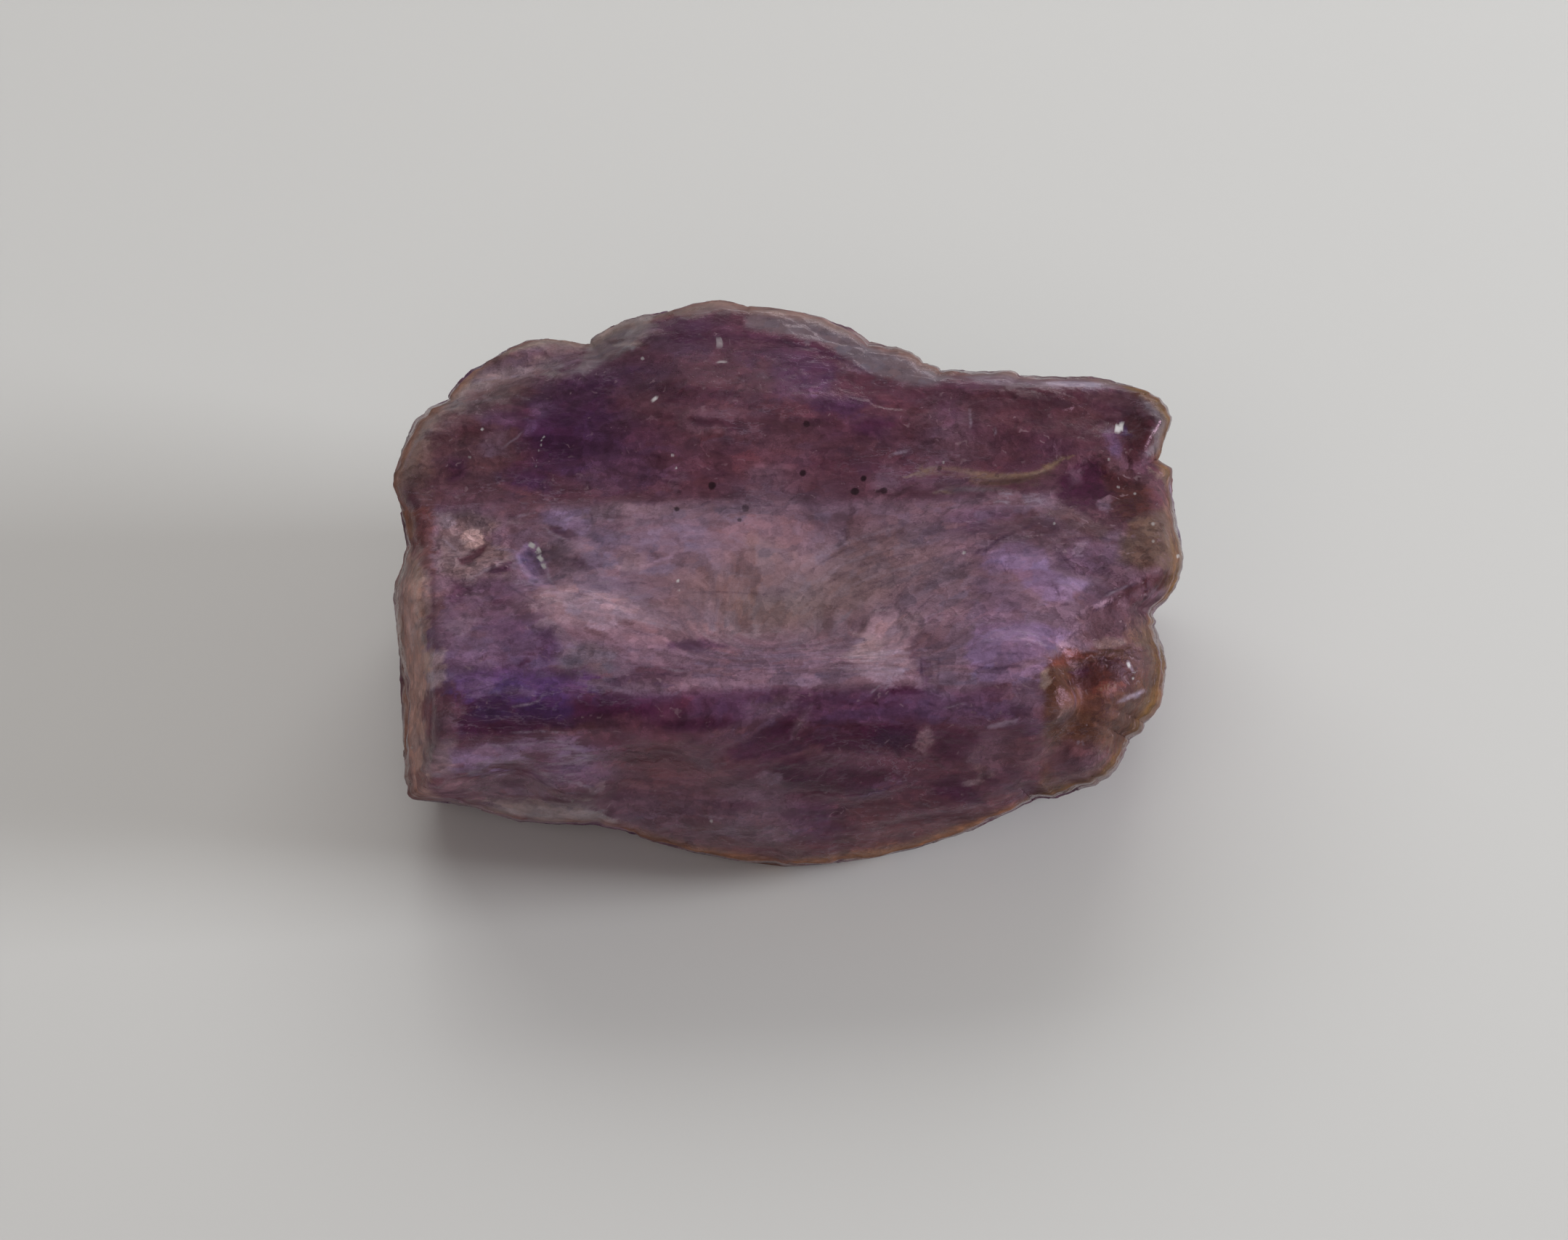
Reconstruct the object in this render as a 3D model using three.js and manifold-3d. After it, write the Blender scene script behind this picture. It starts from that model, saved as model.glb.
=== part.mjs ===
// A rough sapphire: one broken, water-worn piece of a violet crystal, resting on a flat parting face.
// Millimetres, +Z up. X runs along the crystal's length, -Y is the front, and the origin is the middle of the base.
//
// The stone is one closed surface found by looking out from its middle: along each direction the surface
// is where the first of its faces, hollows and grooves is met, with the edges between them worn round.

import * as THREE from "three";
import { ImprovedNoise } from "three/addons/math/ImprovedNoise.js";
import { mergeVertices } from "three/addons/utils/BufferGeometryUtils.js";
import Module from "manifold-3d";

// Driving dimensions
const LENGTH = 14.0;
const OUTLINE_HEIGHT = 10.0;
const WINDOW_HEIGHT = 5.25;
const CREASE_Y = 3.95;
const SHOULDER_RISE = 0.75;
const SHOULDER_WIDTH = 0.95;
const EDGE_WEAR = 0.32;
const MESH_DETAIL = 22;
const EVENING_PASSES = 160;
const CLOSE_TO_BASE = 0.13;

// Where the outline was drawn from: an eye in front of the stone, looking down at it
const EYE_ELEVATION = THREE.MathUtils.degToRad(45);
const EYE_DISTANCE = 78;
const AIM = new THREE.Vector3(0, 3.6, 3.47);
const LOOK_UP = new THREE.Vector3(0, Math.sin(EYE_ELEVATION), Math.cos(EYE_ELEVATION));
const LOOK_BACK = new THREE.Vector3(0, -Math.cos(EYE_ELEVATION), Math.sin(EYE_ELEVATION));

// A block about as big as the stone, by its middle and half sizes, and the flat core in it that the surface
// is looked out from, as parts of those half sizes
const MIDDLE = new THREE.Vector3(0, 3.5, 2.8);
const BLOCK = new THREE.Vector3(LENGTH / 2, 4.7, 3.2);
const CORE = new THREE.Vector3(0.8, 0.7, 0);

// The outline as that eye sees it, clockwise from the left: across from the middle, and up from the lowest point
const BACK_RIM = [
  [-6.97, 6.83], [-6.9, 7.25], [-6.56, 7.9], [-6.1, 8.08], [-5.92, 8.38], [-5.6, 8.75], [-5.05, 9.17], [-4.2, 9.33],
  [-3.5, 9.2], [-3.2, 9.52], [-2.6, 9.72], [-1.9, 9.88], [-1.25, 10.0], [-0.45, 9.85], [0.35, 9.8], [1.05, 9.6],
  [1.5, 9.25], [2.05, 9.15], [2.4, 8.93], [2.85, 8.78], [3.9, 8.75], [4.9, 8.65], [5.8, 8.6], [6.3, 8.45],
];
const RIGHT_END = [
  [6.7, 8.1], [6.78, 7.7], [6.62, 7.18], [6.8, 6.9], [6.82, 6.5], [6.95, 5.9], [7.0, 5.3], [6.87, 4.8],
  [6.52, 4.45], [6.58, 4.1], [6.7, 3.7], [6.68, 3.25], [6.48, 2.7], [6.13, 2.2], [5.94, 1.8], [5.6, 1.5],
];
const FRONT_RIM = [
  [5.1, 1.27], [4.4, 1.15], [3.8, 0.92], [2.83, 0.58], [1.85, 0.22], [0.9, 0.02], [-0.4, 0.0], [-1.75, 0.26],
  [-2.9, 0.6], [-3.65, 0.71], [-4.6, 0.71], [-5.55, 0.94], [-6.45, 1.1],
];
const LEFT_END = [
  [-6.75, 1.6], [-6.8, 2.7], [-6.92, 4.0], [-7.0, 4.8], [-6.74, 5.68], [-6.86, 6.2],
];

// How far the sides draw in, per millimetre squared, above and below the height where they meet the outline
const DRAW_IN_ABOVE = 0.045;
const DRAW_IN_BELOW = 0.03;

// Flat broken faces and worn corners: a point on each, and the way that it faces
const FACES = [
  { what: "front face", at: [0, -0.95, 3], faces: [0.03, -1, -0.04] },
  { what: "front undercut", at: [0, -0.8, 0.85], faces: [0.05, -0.72, -0.7] },
  { what: "front left undercut", at: [-4.5, -0.6, 1.3], faces: [-0.2, -0.7, -0.7] },
  { what: "front right corner", at: [6.1, 0.2, 3.2], faces: [0.75, -0.6, 0.2] },
  { what: "right end", at: [7.15, 3.4, 3.0], faces: [1, 0.02, 0.05] },
  { what: "right end, under", at: [6.6, 3.0, 1.3], faces: [0.8, -0.15, -0.6] },
  { what: "right back corner", at: [6.6, 6.8, 3.4], faces: [0.66, 0.74, 0.05] },
  { what: "back face, right", at: [2.5, 7.75, 3.5], faces: [0.16, 0.98, 0.08] },
  { what: "back face, left", at: [-2.0, 8.15, 3.5], faces: [-0.12, 0.98, 0.06] },
  { what: "back undercut", at: [0, 7.7, 1.5], faces: [0.05, 0.78, -0.62] },
  { what: "left back corner", at: [-6.4, 6.9, 3.4], faces: [-0.7, 0.7, 0.05] },
  { what: "left end", at: [-6.5, 0, 5.3], faces: [-1, -0.1, 0.13] },
  { what: "left end, under", at: [-6.8, 3.0, 1.3], faces: [-0.86, 0.05, -0.52] },
];

// Shell-like hollows where chips flew off: a point on the surface, the way the hollow opens, its radius and depth
const HOLLOWS = [
  { at: [-2.2, -0.95, 2.9], opens: [0, -1, 0.1], radius: 3.4, depth: 0.2 },
  { at: [-4.9, -0.95, 2.4], opens: [0, -1, 0.2], radius: 1.8, depth: 0.26 },
  { at: [2.4, -0.95, 1.9], opens: [0.1, -1, -0.2], radius: 2.6, depth: 0.3 },
  { at: [2.9, 7.7, 4.0], opens: [0.15, 1, 0.1], radius: 3.6, depth: 0.45 },
  { at: [-3.4, 8.1, 2.8], opens: [-0.1, 1, -0.1], radius: 4.2, depth: 0.42 },
  { at: [1.9, 7.2, 5.9], opens: [0.3, 0.75, 0.6], radius: 1.9, depth: 0.25 },
  { at: [-6.8, 4.7, 3.2], opens: [-1, 0.2, 0.1], radius: 2.6, depth: 0.25 },
  { at: [-6.8, 1.1, 2.6], opens: [-1, -0.1, 0.1], radius: 1.8, depth: 0.2 },
  { at: [7.0, 4.6, 2.3], opens: [1, 0.1, -0.1], radius: 2.3, depth: 0.35 },
  { at: [6.9, 1.9, 3.2], opens: [1, -0.2, 0.2], radius: 1.6, depth: 0.25 },
];

// Grooves and pits: from, to, half width, and depth. A pit's two ends are close together
const GROOVES = [
  { what: "groove behind the left knob", from: [-3.4, 7.1, 6.3], to: [-5.7, 6.0, 6.0], wide: 0.42, deep: 0.5 },
  { what: "fissure in the shoulder", from: [2.3, 4.1, 5.7], to: [5.0, 4.35, 5.6], wide: 0.3, deep: 0.25 },
  { what: "upper notch", from: [7.1, 4.6, 5.4], to: [5.6, 4.2, 5.6], wide: 0.36, deep: 0.4 },
  { what: "lower notch", from: [7.2, 1.5, 4.7], to: [5.0, 0.2, 5.1], wide: 0.42, deep: 0.6 },
  { what: "groove beside the right lobe", from: [5.0, 0.2, 5.1], to: [4.6, -0.9, 3.5], wide: 0.36, deep: 0.35 },
  { what: "its lower end", from: [4.6, -0.9, 3.5], to: [5.0, -0.9, 1.8], wide: 0.4, deep: 0.25 },
  { what: "crumbled pit", from: [-5.9, 2.9, 5.3], to: [-5.4, 2.7, 5.3], wide: 0.42, deep: 0.42 },
  { what: "chipped pit", from: [-4.6, 2.6, 5.3], to: [-4.2, 2.0, 5.3], wide: 0.32, deep: 0.45 },
  { what: "pit in the right knob", from: [5.6, 5.4, 6.0], to: [5.9, 5.7, 5.9], wide: 0.4, deep: 0.36 },
];

const { smoothstep, clamp } = THREE.MathUtils;
const noise = new ImprovedNoise();

// The larger of two distances, with the edge between them worn round over a width
function worn(a, b, width) {
  const near = Math.max(width - Math.abs(a - b), 0) / width;
  return Math.max(a, b) + (near * near * width) / 4;
}

// A smooth hump: 1 at the middle, near 0 past twice the half width
function hump(distance, halfWidth) {
  return Math.exp(-((distance / halfWidth) ** 2));
}

// The distance of a point from the stretch between two others
function fromStretch(point, from, to) {
  const along = to.clone().sub(from);
  const part = clamp(point.clone().sub(from).dot(along) / along.lengthSq(), 0, 1);
  return along.multiplyScalar(part).add(from).distanceTo(point);
}

// The drawn outline as a closed line of points, with the middle of the drawing at 0
function outlinePoints() {
  const corners = [...BACK_RIM, ...RIGHT_END, ...FRONT_RIM, ...LEFT_END];
  const curve = new THREE.CatmullRomCurve3(
    corners.map(([across, up]) => new THREE.Vector3(across, up - OUTLINE_HEIGHT / 2, 0)),
    true,
    "centripetal",
  );
  return curve.getPoints(4 * corners.length);
}

// The distance of a point of the drawing from the outline, below 0 inside it
function fromOutline(point) {
  let nearest = Infinity;
  let inside = false;
  for (let i = 1; i < outline.length; i++) {
    const [a, b] = [outline[i - 1], outline[i]];
    nearest = Math.min(nearest, fromStretch(point, a, b));
    if (a.y > point.y !== b.y > point.y) {
      if (point.x < a.x + ((point.y - a.y) / (b.y - a.y)) * (b.x - a.x)) inside = !inside;
    }
  }
  return inside ? -nearest : nearest;
}

// The height of the top: a nearly level window face in front, and a rounded shoulder behind a crease
function topHeight(x, y) {
  const crease = CREASE_Y + 0.12 * Math.sin(1.1 * x) - 0.25 * smoothstep(x, 2, 5);
  const windowFace = WINDOW_HEIGHT + 0.03 * y - 0.12 * hump(Math.hypot(x / 2.2, y - 1.6), 1.3);
  const knobs = 0.55 + 0.6 * hump(x + 0.9, 2.4) + 0.15 * hump(x + 5.2, 1.3) - 0.1 * smoothstep(x, 3, 6);
  const shoulder = SHOULDER_RISE * knobs * smoothstep(y, crease - 0.15, crease + SHOULDER_WIDTH);
  const crest = 0.28 * knobs * hump(y - 6.1, 1.2) - 0.05 * Math.max(y - 6.8, 0) ** 2;
  const frontFall = 0.16 * Math.max(0.6 - y, 0) ** 2 + 0.5 * smoothstep(x, 4.4, 7.2) * smoothstep(-y, -2.6, 0.2);
  return windowFace + shoulder + crest - frontFall;
}

// The unevenness of the broken surface: broad swells, then fibres that run along the crystal
function roughness({ x, y, z }) {
  const swell = 0.18 * noise.noise(0.32 * x + 7, 0.5 * y, 0.5 * z);
  const lumps = 0.07 * noise.noise(0.8 * x, 1.1 * y + 4, 1.1 * z);
  const fibres = 0.05 * noise.noise(0.5 * x, 2.2 * y, 2.2 * z + 9);
  return swell + lumps + fibres;
}

const outline = outlinePoints();
const faces = FACES.map(({ at, faces: way }) => {
  const normal = new THREE.Vector3(...way).normalize();
  return { normal, offset: normal.dot(new THREE.Vector3(...at)) };
});
const hollows = HOLLOWS.map(({ at, opens, radius, depth }) => ({
  centre: new THREE.Vector3(...opens).normalize().multiplyScalar(radius - depth).add(new THREE.Vector3(...at)),
  radius,
}));
const grooves = GROOVES.map(({ from, to, wide, deep }) => ({
  from: new THREE.Vector3(...from),
  to: new THREE.Vector3(...to),
  wide,
  deep,
}));

// How far a point is outside the stone, below 0 inside it
function outside(point) {
  const seen = point.clone().sub(AIM);
  const near = seen.dot(LOOK_BACK);
  const up = seen.dot(LOOK_UP);
  const magnified = EYE_DISTANCE / (EYE_DISTANCE - near);
  const rimNear = 1.3 - 0.27 * (up + OUTLINE_HEIGHT / 2);
  const drawIn = (near > rimNear ? DRAW_IN_ABOVE : DRAW_IN_BELOW) * (near - rimNear) ** 2;
  const side = fromOutline(new THREE.Vector3(seen.x * magnified, up * magnified, 0)) + drawIn;
  const cut = grooves.reduce((sum, { from, to, wide, deep }) => sum + deep * hump(fromStretch(point, from, to), wide), 0);
  const uneven = roughness(point) + cut;
  let far = 0.85 * (point.z - topHeight(point.x, point.y)) + uneven;
  for (const { normal, offset } of faces) far = worn(far, normal.dot(point) - offset + uneven, EDGE_WEAR);
  for (const { centre, radius } of hollows) far = worn(far, radius - point.distanceTo(centre) + uneven, 0.12);
  return worn(far, side, 0.2);
}

// The point where the way out from the core to a point of the block meets the surface
function surfacePoint(blockPoint) {
  const from = blockPoint.clone().multiply(CORE);
  const direction = blockPoint.clone().sub(from).normalize();
  const at = (distance) => direction.clone().multiplyScalar(distance).add(from).add(MIDDLE);
  const step = 0.2;
  let inner = 0;
  while (outside(at(inner + step)) < 0) inner += step;
  let outer = inner + step;
  for (let i = 0; i < 12; i++) {
    const half = (inner + outer) / 2;
    if (outside(at(half)) < 0) inner = half;
    else outer = half;
  }
  return at(inner);
}

// A three.js geometry as a solid for cutting
function solid(wasm, geometry) {
  const bare = geometry.clone();
  bare.deleteAttribute("normal");
  bare.deleteAttribute("uv");
  const merged = mergeVertices(bare, 1e-4);
  return new wasm.Manifold(
    new wasm.Mesh({
      numProp: 3,
      vertProperties: merged.attributes.position.array,
      triVerts: new Uint32Array(merged.index.array),
    }),
  );
}

// A cut solid as a three.js geometry
function geometryOf(cut) {
  const { vertProperties, triVerts } = cut.getMesh();
  return new THREE.BufferGeometry()
    .setAttribute("position", new THREE.BufferAttribute(vertProperties, 3))
    .setIndex(new THREE.BufferAttribute(triVerts, 1));
}

// For each point of a mesh, the points that it is joined to
function joinedTo(index, count) {
  const joined = Array.from({ length: count }, () => new Set());
  for (let i = 0; i < index.count; i += 3) {
    const [a, b, c] = [index.getX(i), index.getX(i + 1), index.getX(i + 2)];
    joined[a].add(b).add(c);
    joined[b].add(c).add(a);
    joined[c].add(a).add(b);
  }
  return joined.map((points) => [...points]);
}

// A point moved in or out from the middle, onto a rounded block of about the stone's size
function ontoBlock(point) {
  const { x, y, z } = point.clone().divide(BLOCK);
  return point.divideScalar((x ** 4 + y ** 4 + z ** 4) ** 0.25);
}

// The rounded block as a closed mesh of nearly equal triangles
function evenBlock() {
  const ball = new THREE.IcosahedronGeometry(1, MESH_DETAIL);
  ball.deleteAttribute("normal");
  ball.deleteAttribute("uv");
  const block = mergeVertices(ball, 1e-5);
  const { count } = block.attributes.position;
  const joined = joinedTo(block.index, count);
  let points = joined.map((_, i) => ontoBlock(new THREE.Vector3().fromBufferAttribute(block.attributes.position, i)));
  for (let pass = 0; pass < EVENING_PASSES; pass++) {
    points = joined.map((near) =>
      ontoBlock(near.reduce((sum, i) => sum.add(points[i]), new THREE.Vector3()).divideScalar(near.length)),
    );
  }
  return block.setFromPoints(points);
}

// The worn surface: the block, with each of its points moved out to the surface. Points that end up close to
// the parting face are set on it, so that the cut there leaves no slivers
function wornSurface() {
  const surface = evenBlock();
  const position = surface.attributes.position;
  for (let i = 0; i < position.count; i++) {
    const { x, y, z } = surfacePoint(new THREE.Vector3().fromBufferAttribute(position, i));
    position.setXYZ(i, x, y, Math.abs(z) < CLOSE_TO_BASE ? 0 : z);
  }
  return surface;
}

// Everything below the parting face, as a block to cut away
function belowBase() {
  const size = 40;
  return new THREE.BoxGeometry(size, size, size).translate(0, 0, -size / 2);
}

async function stoneGeometry() {
  const wasm = await Module();
  wasm.setup();
  const stone = geometryOf(solid(wasm, wornSurface()).subtract(solid(wasm, belowBase())));
  stone.computeBoundingBox();
  const centre = stone.boundingBox.getCenter(new THREE.Vector3());
  stone.translate(-centre.x, -centre.y, 0);
  stone.computeVertexNormals();
  return stone;
}

const violet = new THREE.MeshStandardMaterial({ color: 0x6b4560, roughness: 0.3, metalness: 0 });
const crystal = new THREE.Mesh(await stoneGeometry(), violet);
crystal.name = "sapphire_crystal";

const part = new THREE.Group();
part.add(crystal);

export default part;
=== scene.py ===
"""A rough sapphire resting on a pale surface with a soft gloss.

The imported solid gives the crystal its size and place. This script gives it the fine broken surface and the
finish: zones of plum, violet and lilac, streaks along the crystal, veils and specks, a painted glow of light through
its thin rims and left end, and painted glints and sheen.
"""

from __future__ import annotations

import logging
import math
from dataclasses import dataclass, field
from enum import Enum

import bpy
import numpy as np
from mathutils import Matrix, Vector, noise
from mathutils.bvhtree import BVHTree

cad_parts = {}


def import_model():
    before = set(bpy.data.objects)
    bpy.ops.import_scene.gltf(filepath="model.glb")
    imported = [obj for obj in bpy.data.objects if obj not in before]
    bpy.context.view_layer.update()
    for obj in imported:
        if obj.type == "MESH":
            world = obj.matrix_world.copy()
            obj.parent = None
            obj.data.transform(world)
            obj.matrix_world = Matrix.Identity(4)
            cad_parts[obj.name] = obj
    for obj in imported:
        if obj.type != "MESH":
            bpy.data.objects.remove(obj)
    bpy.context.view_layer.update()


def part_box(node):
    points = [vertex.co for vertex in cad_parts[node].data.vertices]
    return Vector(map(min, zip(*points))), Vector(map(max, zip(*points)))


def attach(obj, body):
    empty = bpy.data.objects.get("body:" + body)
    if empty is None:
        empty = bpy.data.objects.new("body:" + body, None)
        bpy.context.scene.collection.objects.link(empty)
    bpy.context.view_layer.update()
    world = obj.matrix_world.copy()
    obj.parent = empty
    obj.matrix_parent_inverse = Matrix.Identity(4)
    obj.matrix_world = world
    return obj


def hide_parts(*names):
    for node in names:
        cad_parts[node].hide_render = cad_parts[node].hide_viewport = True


Colour = tuple[float, float, float]
Spot = tuple[float, float]
Scale = tuple[float, float, float]
Socket = bpy.types.NodeSocket

MM = 0.001

# What the gloss adds to a dark colour, the share of light that comes back, and the darkest that a tint gets
GLOSS_VEIL = 0.010
LIT_SHARE = 0.6
DARKEST = 0.003

# How far from a fine line, in pixels, the surface still knows of it
THREAD_REACH = 16.0

# Where the noise that tilts the chips starts, so that every run gives the same stone
NOISE_SEED = 1796093222

log = logging.getLogger("rough_sapphire")


def linear(red: int, green: int, blue: int) -> Colour:
    """Turns a colour as it shows on a screen, 0 to 255, into linear light."""
    shares = (red / 255, green / 255, blue / 255)
    return tuple(c / 12.92 if c <= 0.04045 else ((c + 0.055) / 1.055) ** 2.4 for c in shares)


class Tint(Enum):
    """The crystal's colours, as they show on a screen; a few are painted glints, sheen and glow through thin edges.
    """

    PLUM = (88, 57, 69)
    DARK_PLUM = (71, 41, 61)
    DEEP_PLUM = (58, 27, 46)
    DEEP_VIOLET = (64, 42, 66)
    SMOKY_VIOLET = (76, 56, 76)
    BLUE_PLUM = (64, 46, 74)
    BLUE_VIOLET = (64, 47, 86)
    GREY_VIOLET = (104, 80, 110)
    VIOLET_PLUM = (88, 60, 86)
    RED_BROWN = (104, 67, 74)
    BROWN_PLUM = (100, 70, 80)
    DARK_RED = (75, 48, 54)
    BRIGHT_PLUM = (98, 60, 82)
    RUST = (108, 67, 56)
    RUST_RED = (102, 56, 46)
    OLIVE = (96, 75, 62)
    OCHRE = (130, 110, 90)
    WINE = (92, 50, 66)
    ROSE = (139, 107, 119)
    PINK_LILAC = (164, 135, 149)
    LILAC = (130, 104, 135)
    PALE_LILAC = (146, 120, 152)
    MAUVE = (123, 97, 113)
    LIGHT_MAUVE = (135, 111, 131)
    GREY_MAUVE = (112, 89, 103)
    SMOKY_BROWN = (90, 65, 70)
    GREEN_GREY = (118, 101, 114)
    PALE_PINK = (157, 133, 141)
    PALE_ROSE = (188, 158, 158)
    TAN = (132, 111, 104)
    BEIGE = (122, 101, 103)
    DUSTY_BEIGE = (108, 85, 85)
    # The next two are painted sheen, grey and pale, where the rims and ridges catch the light
    SATIN_SHEEN = (109, 99, 105)
    PALE_SHEEN = (150, 139, 140)
    # Pale veils, and painted highlights along the upper right rim and on the lower right lobe
    PALE_VEIL_AND_HIGHLIGHT = (146, 132, 148)
    # A painted highlight, for the white glints where small facets catch the light
    WHITE_GLINT = (245, 240, 240)
    SLATE = (72, 60, 88)
    BLUE_BLACK = (46, 33, 54)
    BLACK_GRAIN = (26, 14, 24)
    END_BEIGE = (170, 138, 130)
    LOBE_BROWN = (80, 55, 41)
    LOBE_RED = (58, 32, 26)
    INDIGO = (84, 60, 104)
    # Painted light along the outline: the pale sheen on top and the gold and brown glow through the thin edges; the
    # rust one also stains the lobe
    RIM_PALE = (134, 120, 112)
    RUST_AND_EDGE_GLOW = (138, 95, 66)
    RIM_BROWN = (142, 103, 82)
    RIM_GOLD = (106, 80, 34)

    @property
    def light(self) -> Colour:
        """The surface's own colour that shows as this one under the scene's lights and its gloss."""
        return tuple(min(max((c - GLOSS_VEIL) / LIT_SHARE, DARKEST), 1.0) for c in linear(*self.value))


def smooth(value: np.ndarray) -> np.ndarray:
    """Eases values from 0 to 1, flat at both ends."""
    value = np.clip(value, 0.0, 1.0)
    return value * value * (3.0 - 2.0 * value)


def noise_of(points: np.ndarray, scale: Scale, shift: float) -> np.ndarray:
    """Reads smooth noise, about -1 to 1, at each point.

    Args:
        points: places, one a row.
        scale: how many swells there are to a unit along X, Y and Z.
        shift: moves the noise, so that two layers differ.

    Returns:
        One value a point.
    """
    placed = points * np.array(scale) + shift
    return np.array([noise.noise(Vector(row)) for row in placed])


@dataclass(frozen=True)
class Eye:
    """Where the photograph was taken from, and the frame that it fills, in pixels and millimetres."""

    width: int = 2159
    height: int = 1708
    aim_pixel: Spot = (1084.0, 802.0)
    pixels_per_mm: float = 77.6
    aim: tuple[float, float, float] = (0.0138, 0.0424, 3.47)
    distance: float = 78.0
    elevation: float = math.radians(45)
    sensor: float = 36.0

    @property
    def back(self) -> Vector:
        """The way from the stone to the eye."""
        return Vector((0.0, -math.cos(self.elevation), math.sin(self.elevation)))

    @property
    def up(self) -> Vector:
        """The photograph's upward way."""
        return Vector((0.0, math.sin(self.elevation), math.cos(self.elevation)))

    def place(self) -> Vector:
        """The eye's own place, in millimetres."""
        return Vector(self.aim) + self.back * self.distance

    def pixels(self, points: np.ndarray) -> np.ndarray:
        """Finds where points show in the photograph.

        Args:
            points: places in millimetres, one a row.

        Returns:
            Their pixels across and down, one a row.
        """
        seen = points - np.array(self.aim)
        magnified = self.pixels_per_mm * self.distance / (self.distance - seen @ np.array(self.back))
        across = self.aim_pixel[0] + seen[:, 0] * magnified
        down = self.aim_pixel[1] - (seen @ np.array(self.up)) * magnified
        return np.column_stack([across, down])

    def add_camera(self) -> None:
        """Adds the camera and makes it the scene's own."""
        lens = self.sensor * self.distance * self.pixels_per_mm / self.width
        bpy.ops.object.camera_add(location=self.place() * MM)
        camera = bpy.context.object
        camera.name = "camera"
        camera.rotation_euler = self.back.to_track_quat("Z", "Y").to_euler()
        camera.data.lens = lens
        camera.data.sensor_width = self.sensor
        camera.data.shift_x = (self.width / 2 - self.aim_pixel[0]) / self.width
        camera.data.shift_y = (self.aim_pixel[1] - self.height / 2) / self.width
        camera.data.clip_start = 0.001
        camera.data.clip_end = 10.0
        bpy.context.scene.camera = camera


def corners_of(numbers: tuple[int, ...], closed: bool = False) -> np.ndarray:
    """Lays a line's numbers out as its corners.

    Args:
        numbers: how far each corner is across and down, in turn, in pixels.
        closed: whether the first corner comes again at the end.

    Returns:
        The corners, one a row.
    """
    corners = np.array(numbers, dtype=float).reshape(-1, 2)
    return np.vstack([corners, corners[:1]]) if closed else corners


def from_oval(seen: np.ndarray, at: Spot, size: Spot, turn: float) -> np.ndarray:
    """Finds how far places are from an oval's middle.

    Args:
        seen: places, as pixels.
        at: the oval's middle, as pixels.
        size: its half sizes, as pixels.
        turn: its turn, in degrees.

    Returns:
        One distance a place, 1 on the oval's edge.
    """
    offset = seen - np.array(at)
    cosine, sine = math.cos(math.radians(turn)), math.sin(math.radians(turn))
    along = offset[:, 0] * cosine - offset[:, 1] * sine
    beside = offset[:, 0] * sine + offset[:, 1] * cosine
    return np.hypot(along / size[0], beside / size[1])


@dataclass(frozen=True)
class Dab:
    """A soft oval of one tint, laid over what is under it. Places and half sizes are pixels."""

    at: Spot
    size: Spot
    tint: Tint
    strength: float = 0.6
    turn: float = 0.0
    edge: float = 0.6
    loose: float = 0.5

    def span(self) -> tuple[np.ndarray, np.ndarray]:
        """The corners of the box that holds it, as pixels."""
        reach = (1.0 + self.edge) * max(self.size)
        return np.array(self.at) - reach, np.array(self.at) + reach

    def cover(self, seen: np.ndarray) -> np.ndarray:
        """How much of the tint each place takes, 0 to 1."""
        reach = from_oval(seen, self.at, self.size, self.turn)
        return self.strength * smooth((1.0 + self.edge - reach) / (2.0 * self.edge))


def from_line(seen: np.ndarray, corners: np.ndarray) -> tuple[np.ndarray, np.ndarray, np.ndarray]:
    """Finds where places lie beside a bent line.

    Args:
        seen: places, as pixels.
        corners: the line's corners, one a row.

    Returns:
        The distance from the line, how far along it, 0 to 1, and 1 on its right, going along it, or -1 on its left.
    """
    lengths = np.linalg.norm(np.diff(corners, axis=0), axis=1)
    passed = np.concatenate([[0.0], np.cumsum(lengths)])
    nearest = np.full(len(seen), np.inf)
    along = np.zeros(len(seen))
    side = np.ones(len(seen))
    for i, length in enumerate(lengths):
        way = (corners[i + 1] - corners[i]) / length
        offset = seen - corners[i]
        part = np.clip(offset @ way, 0.0, length)
        distance = np.linalg.norm(offset - part[:, None] * way, axis=1)
        turned = way[0] * offset[:, 1] - way[1] * offset[:, 0]
        closer = distance < nearest
        nearest = np.where(closer, distance, nearest)
        along = np.where(closer, (passed[i] + part) / passed[-1], along)
        side = np.where(closer, np.where(turned < 0.0, -1.0, 1.0), side)
    return nearest, along, side


@dataclass(frozen=True)
class Stroke:
    """A line of one tint that thins out to its ends. Corners and half width are pixels."""

    points: tuple[int, ...]
    width: float
    tint: Tint
    strength: float = 0.7
    loose: float = 0.4

    def span(self) -> tuple[np.ndarray, np.ndarray]:
        """The corners of the box that holds it, as pixels."""
        corners = corners_of(self.points)
        return corners.min(axis=0) - 3.0 * self.width, corners.max(axis=0) + 3.0 * self.width

    def cover(self, seen: np.ndarray) -> np.ndarray:
        """Finds how much of the tint each place takes.

        Args:
            seen: places, as pixels.

        Returns:
            One share a place, 0 to 1.
        """
        distance, along, _ = from_line(seen, corners_of(self.points))
        taper = np.sqrt(np.clip(4.0 * along * (1.0 - along), 0.05, 1.0))
        return self.strength * np.exp(-((distance / (self.width * taper)) ** 2))


def curved(points: tuple[int, ...]) -> np.ndarray:
    """Rounds a bent line's corners off, by cutting each one twice.

    Args:
        points: the line's numbers, across and down in turn, in pixels.

    Returns:
        The rounder line's corners, one a row.
    """
    corners = corners_of(points)
    for _ in range(2):
        near = 0.75 * corners[:-1] + 0.25 * corners[1:]
        far = 0.25 * corners[:-1] + 0.75 * corners[1:]
        between = np.stack([near, far], axis=1).reshape(-1, 2)
        corners = np.vstack([corners[:1], between, corners[-1:]])
    return corners


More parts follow.
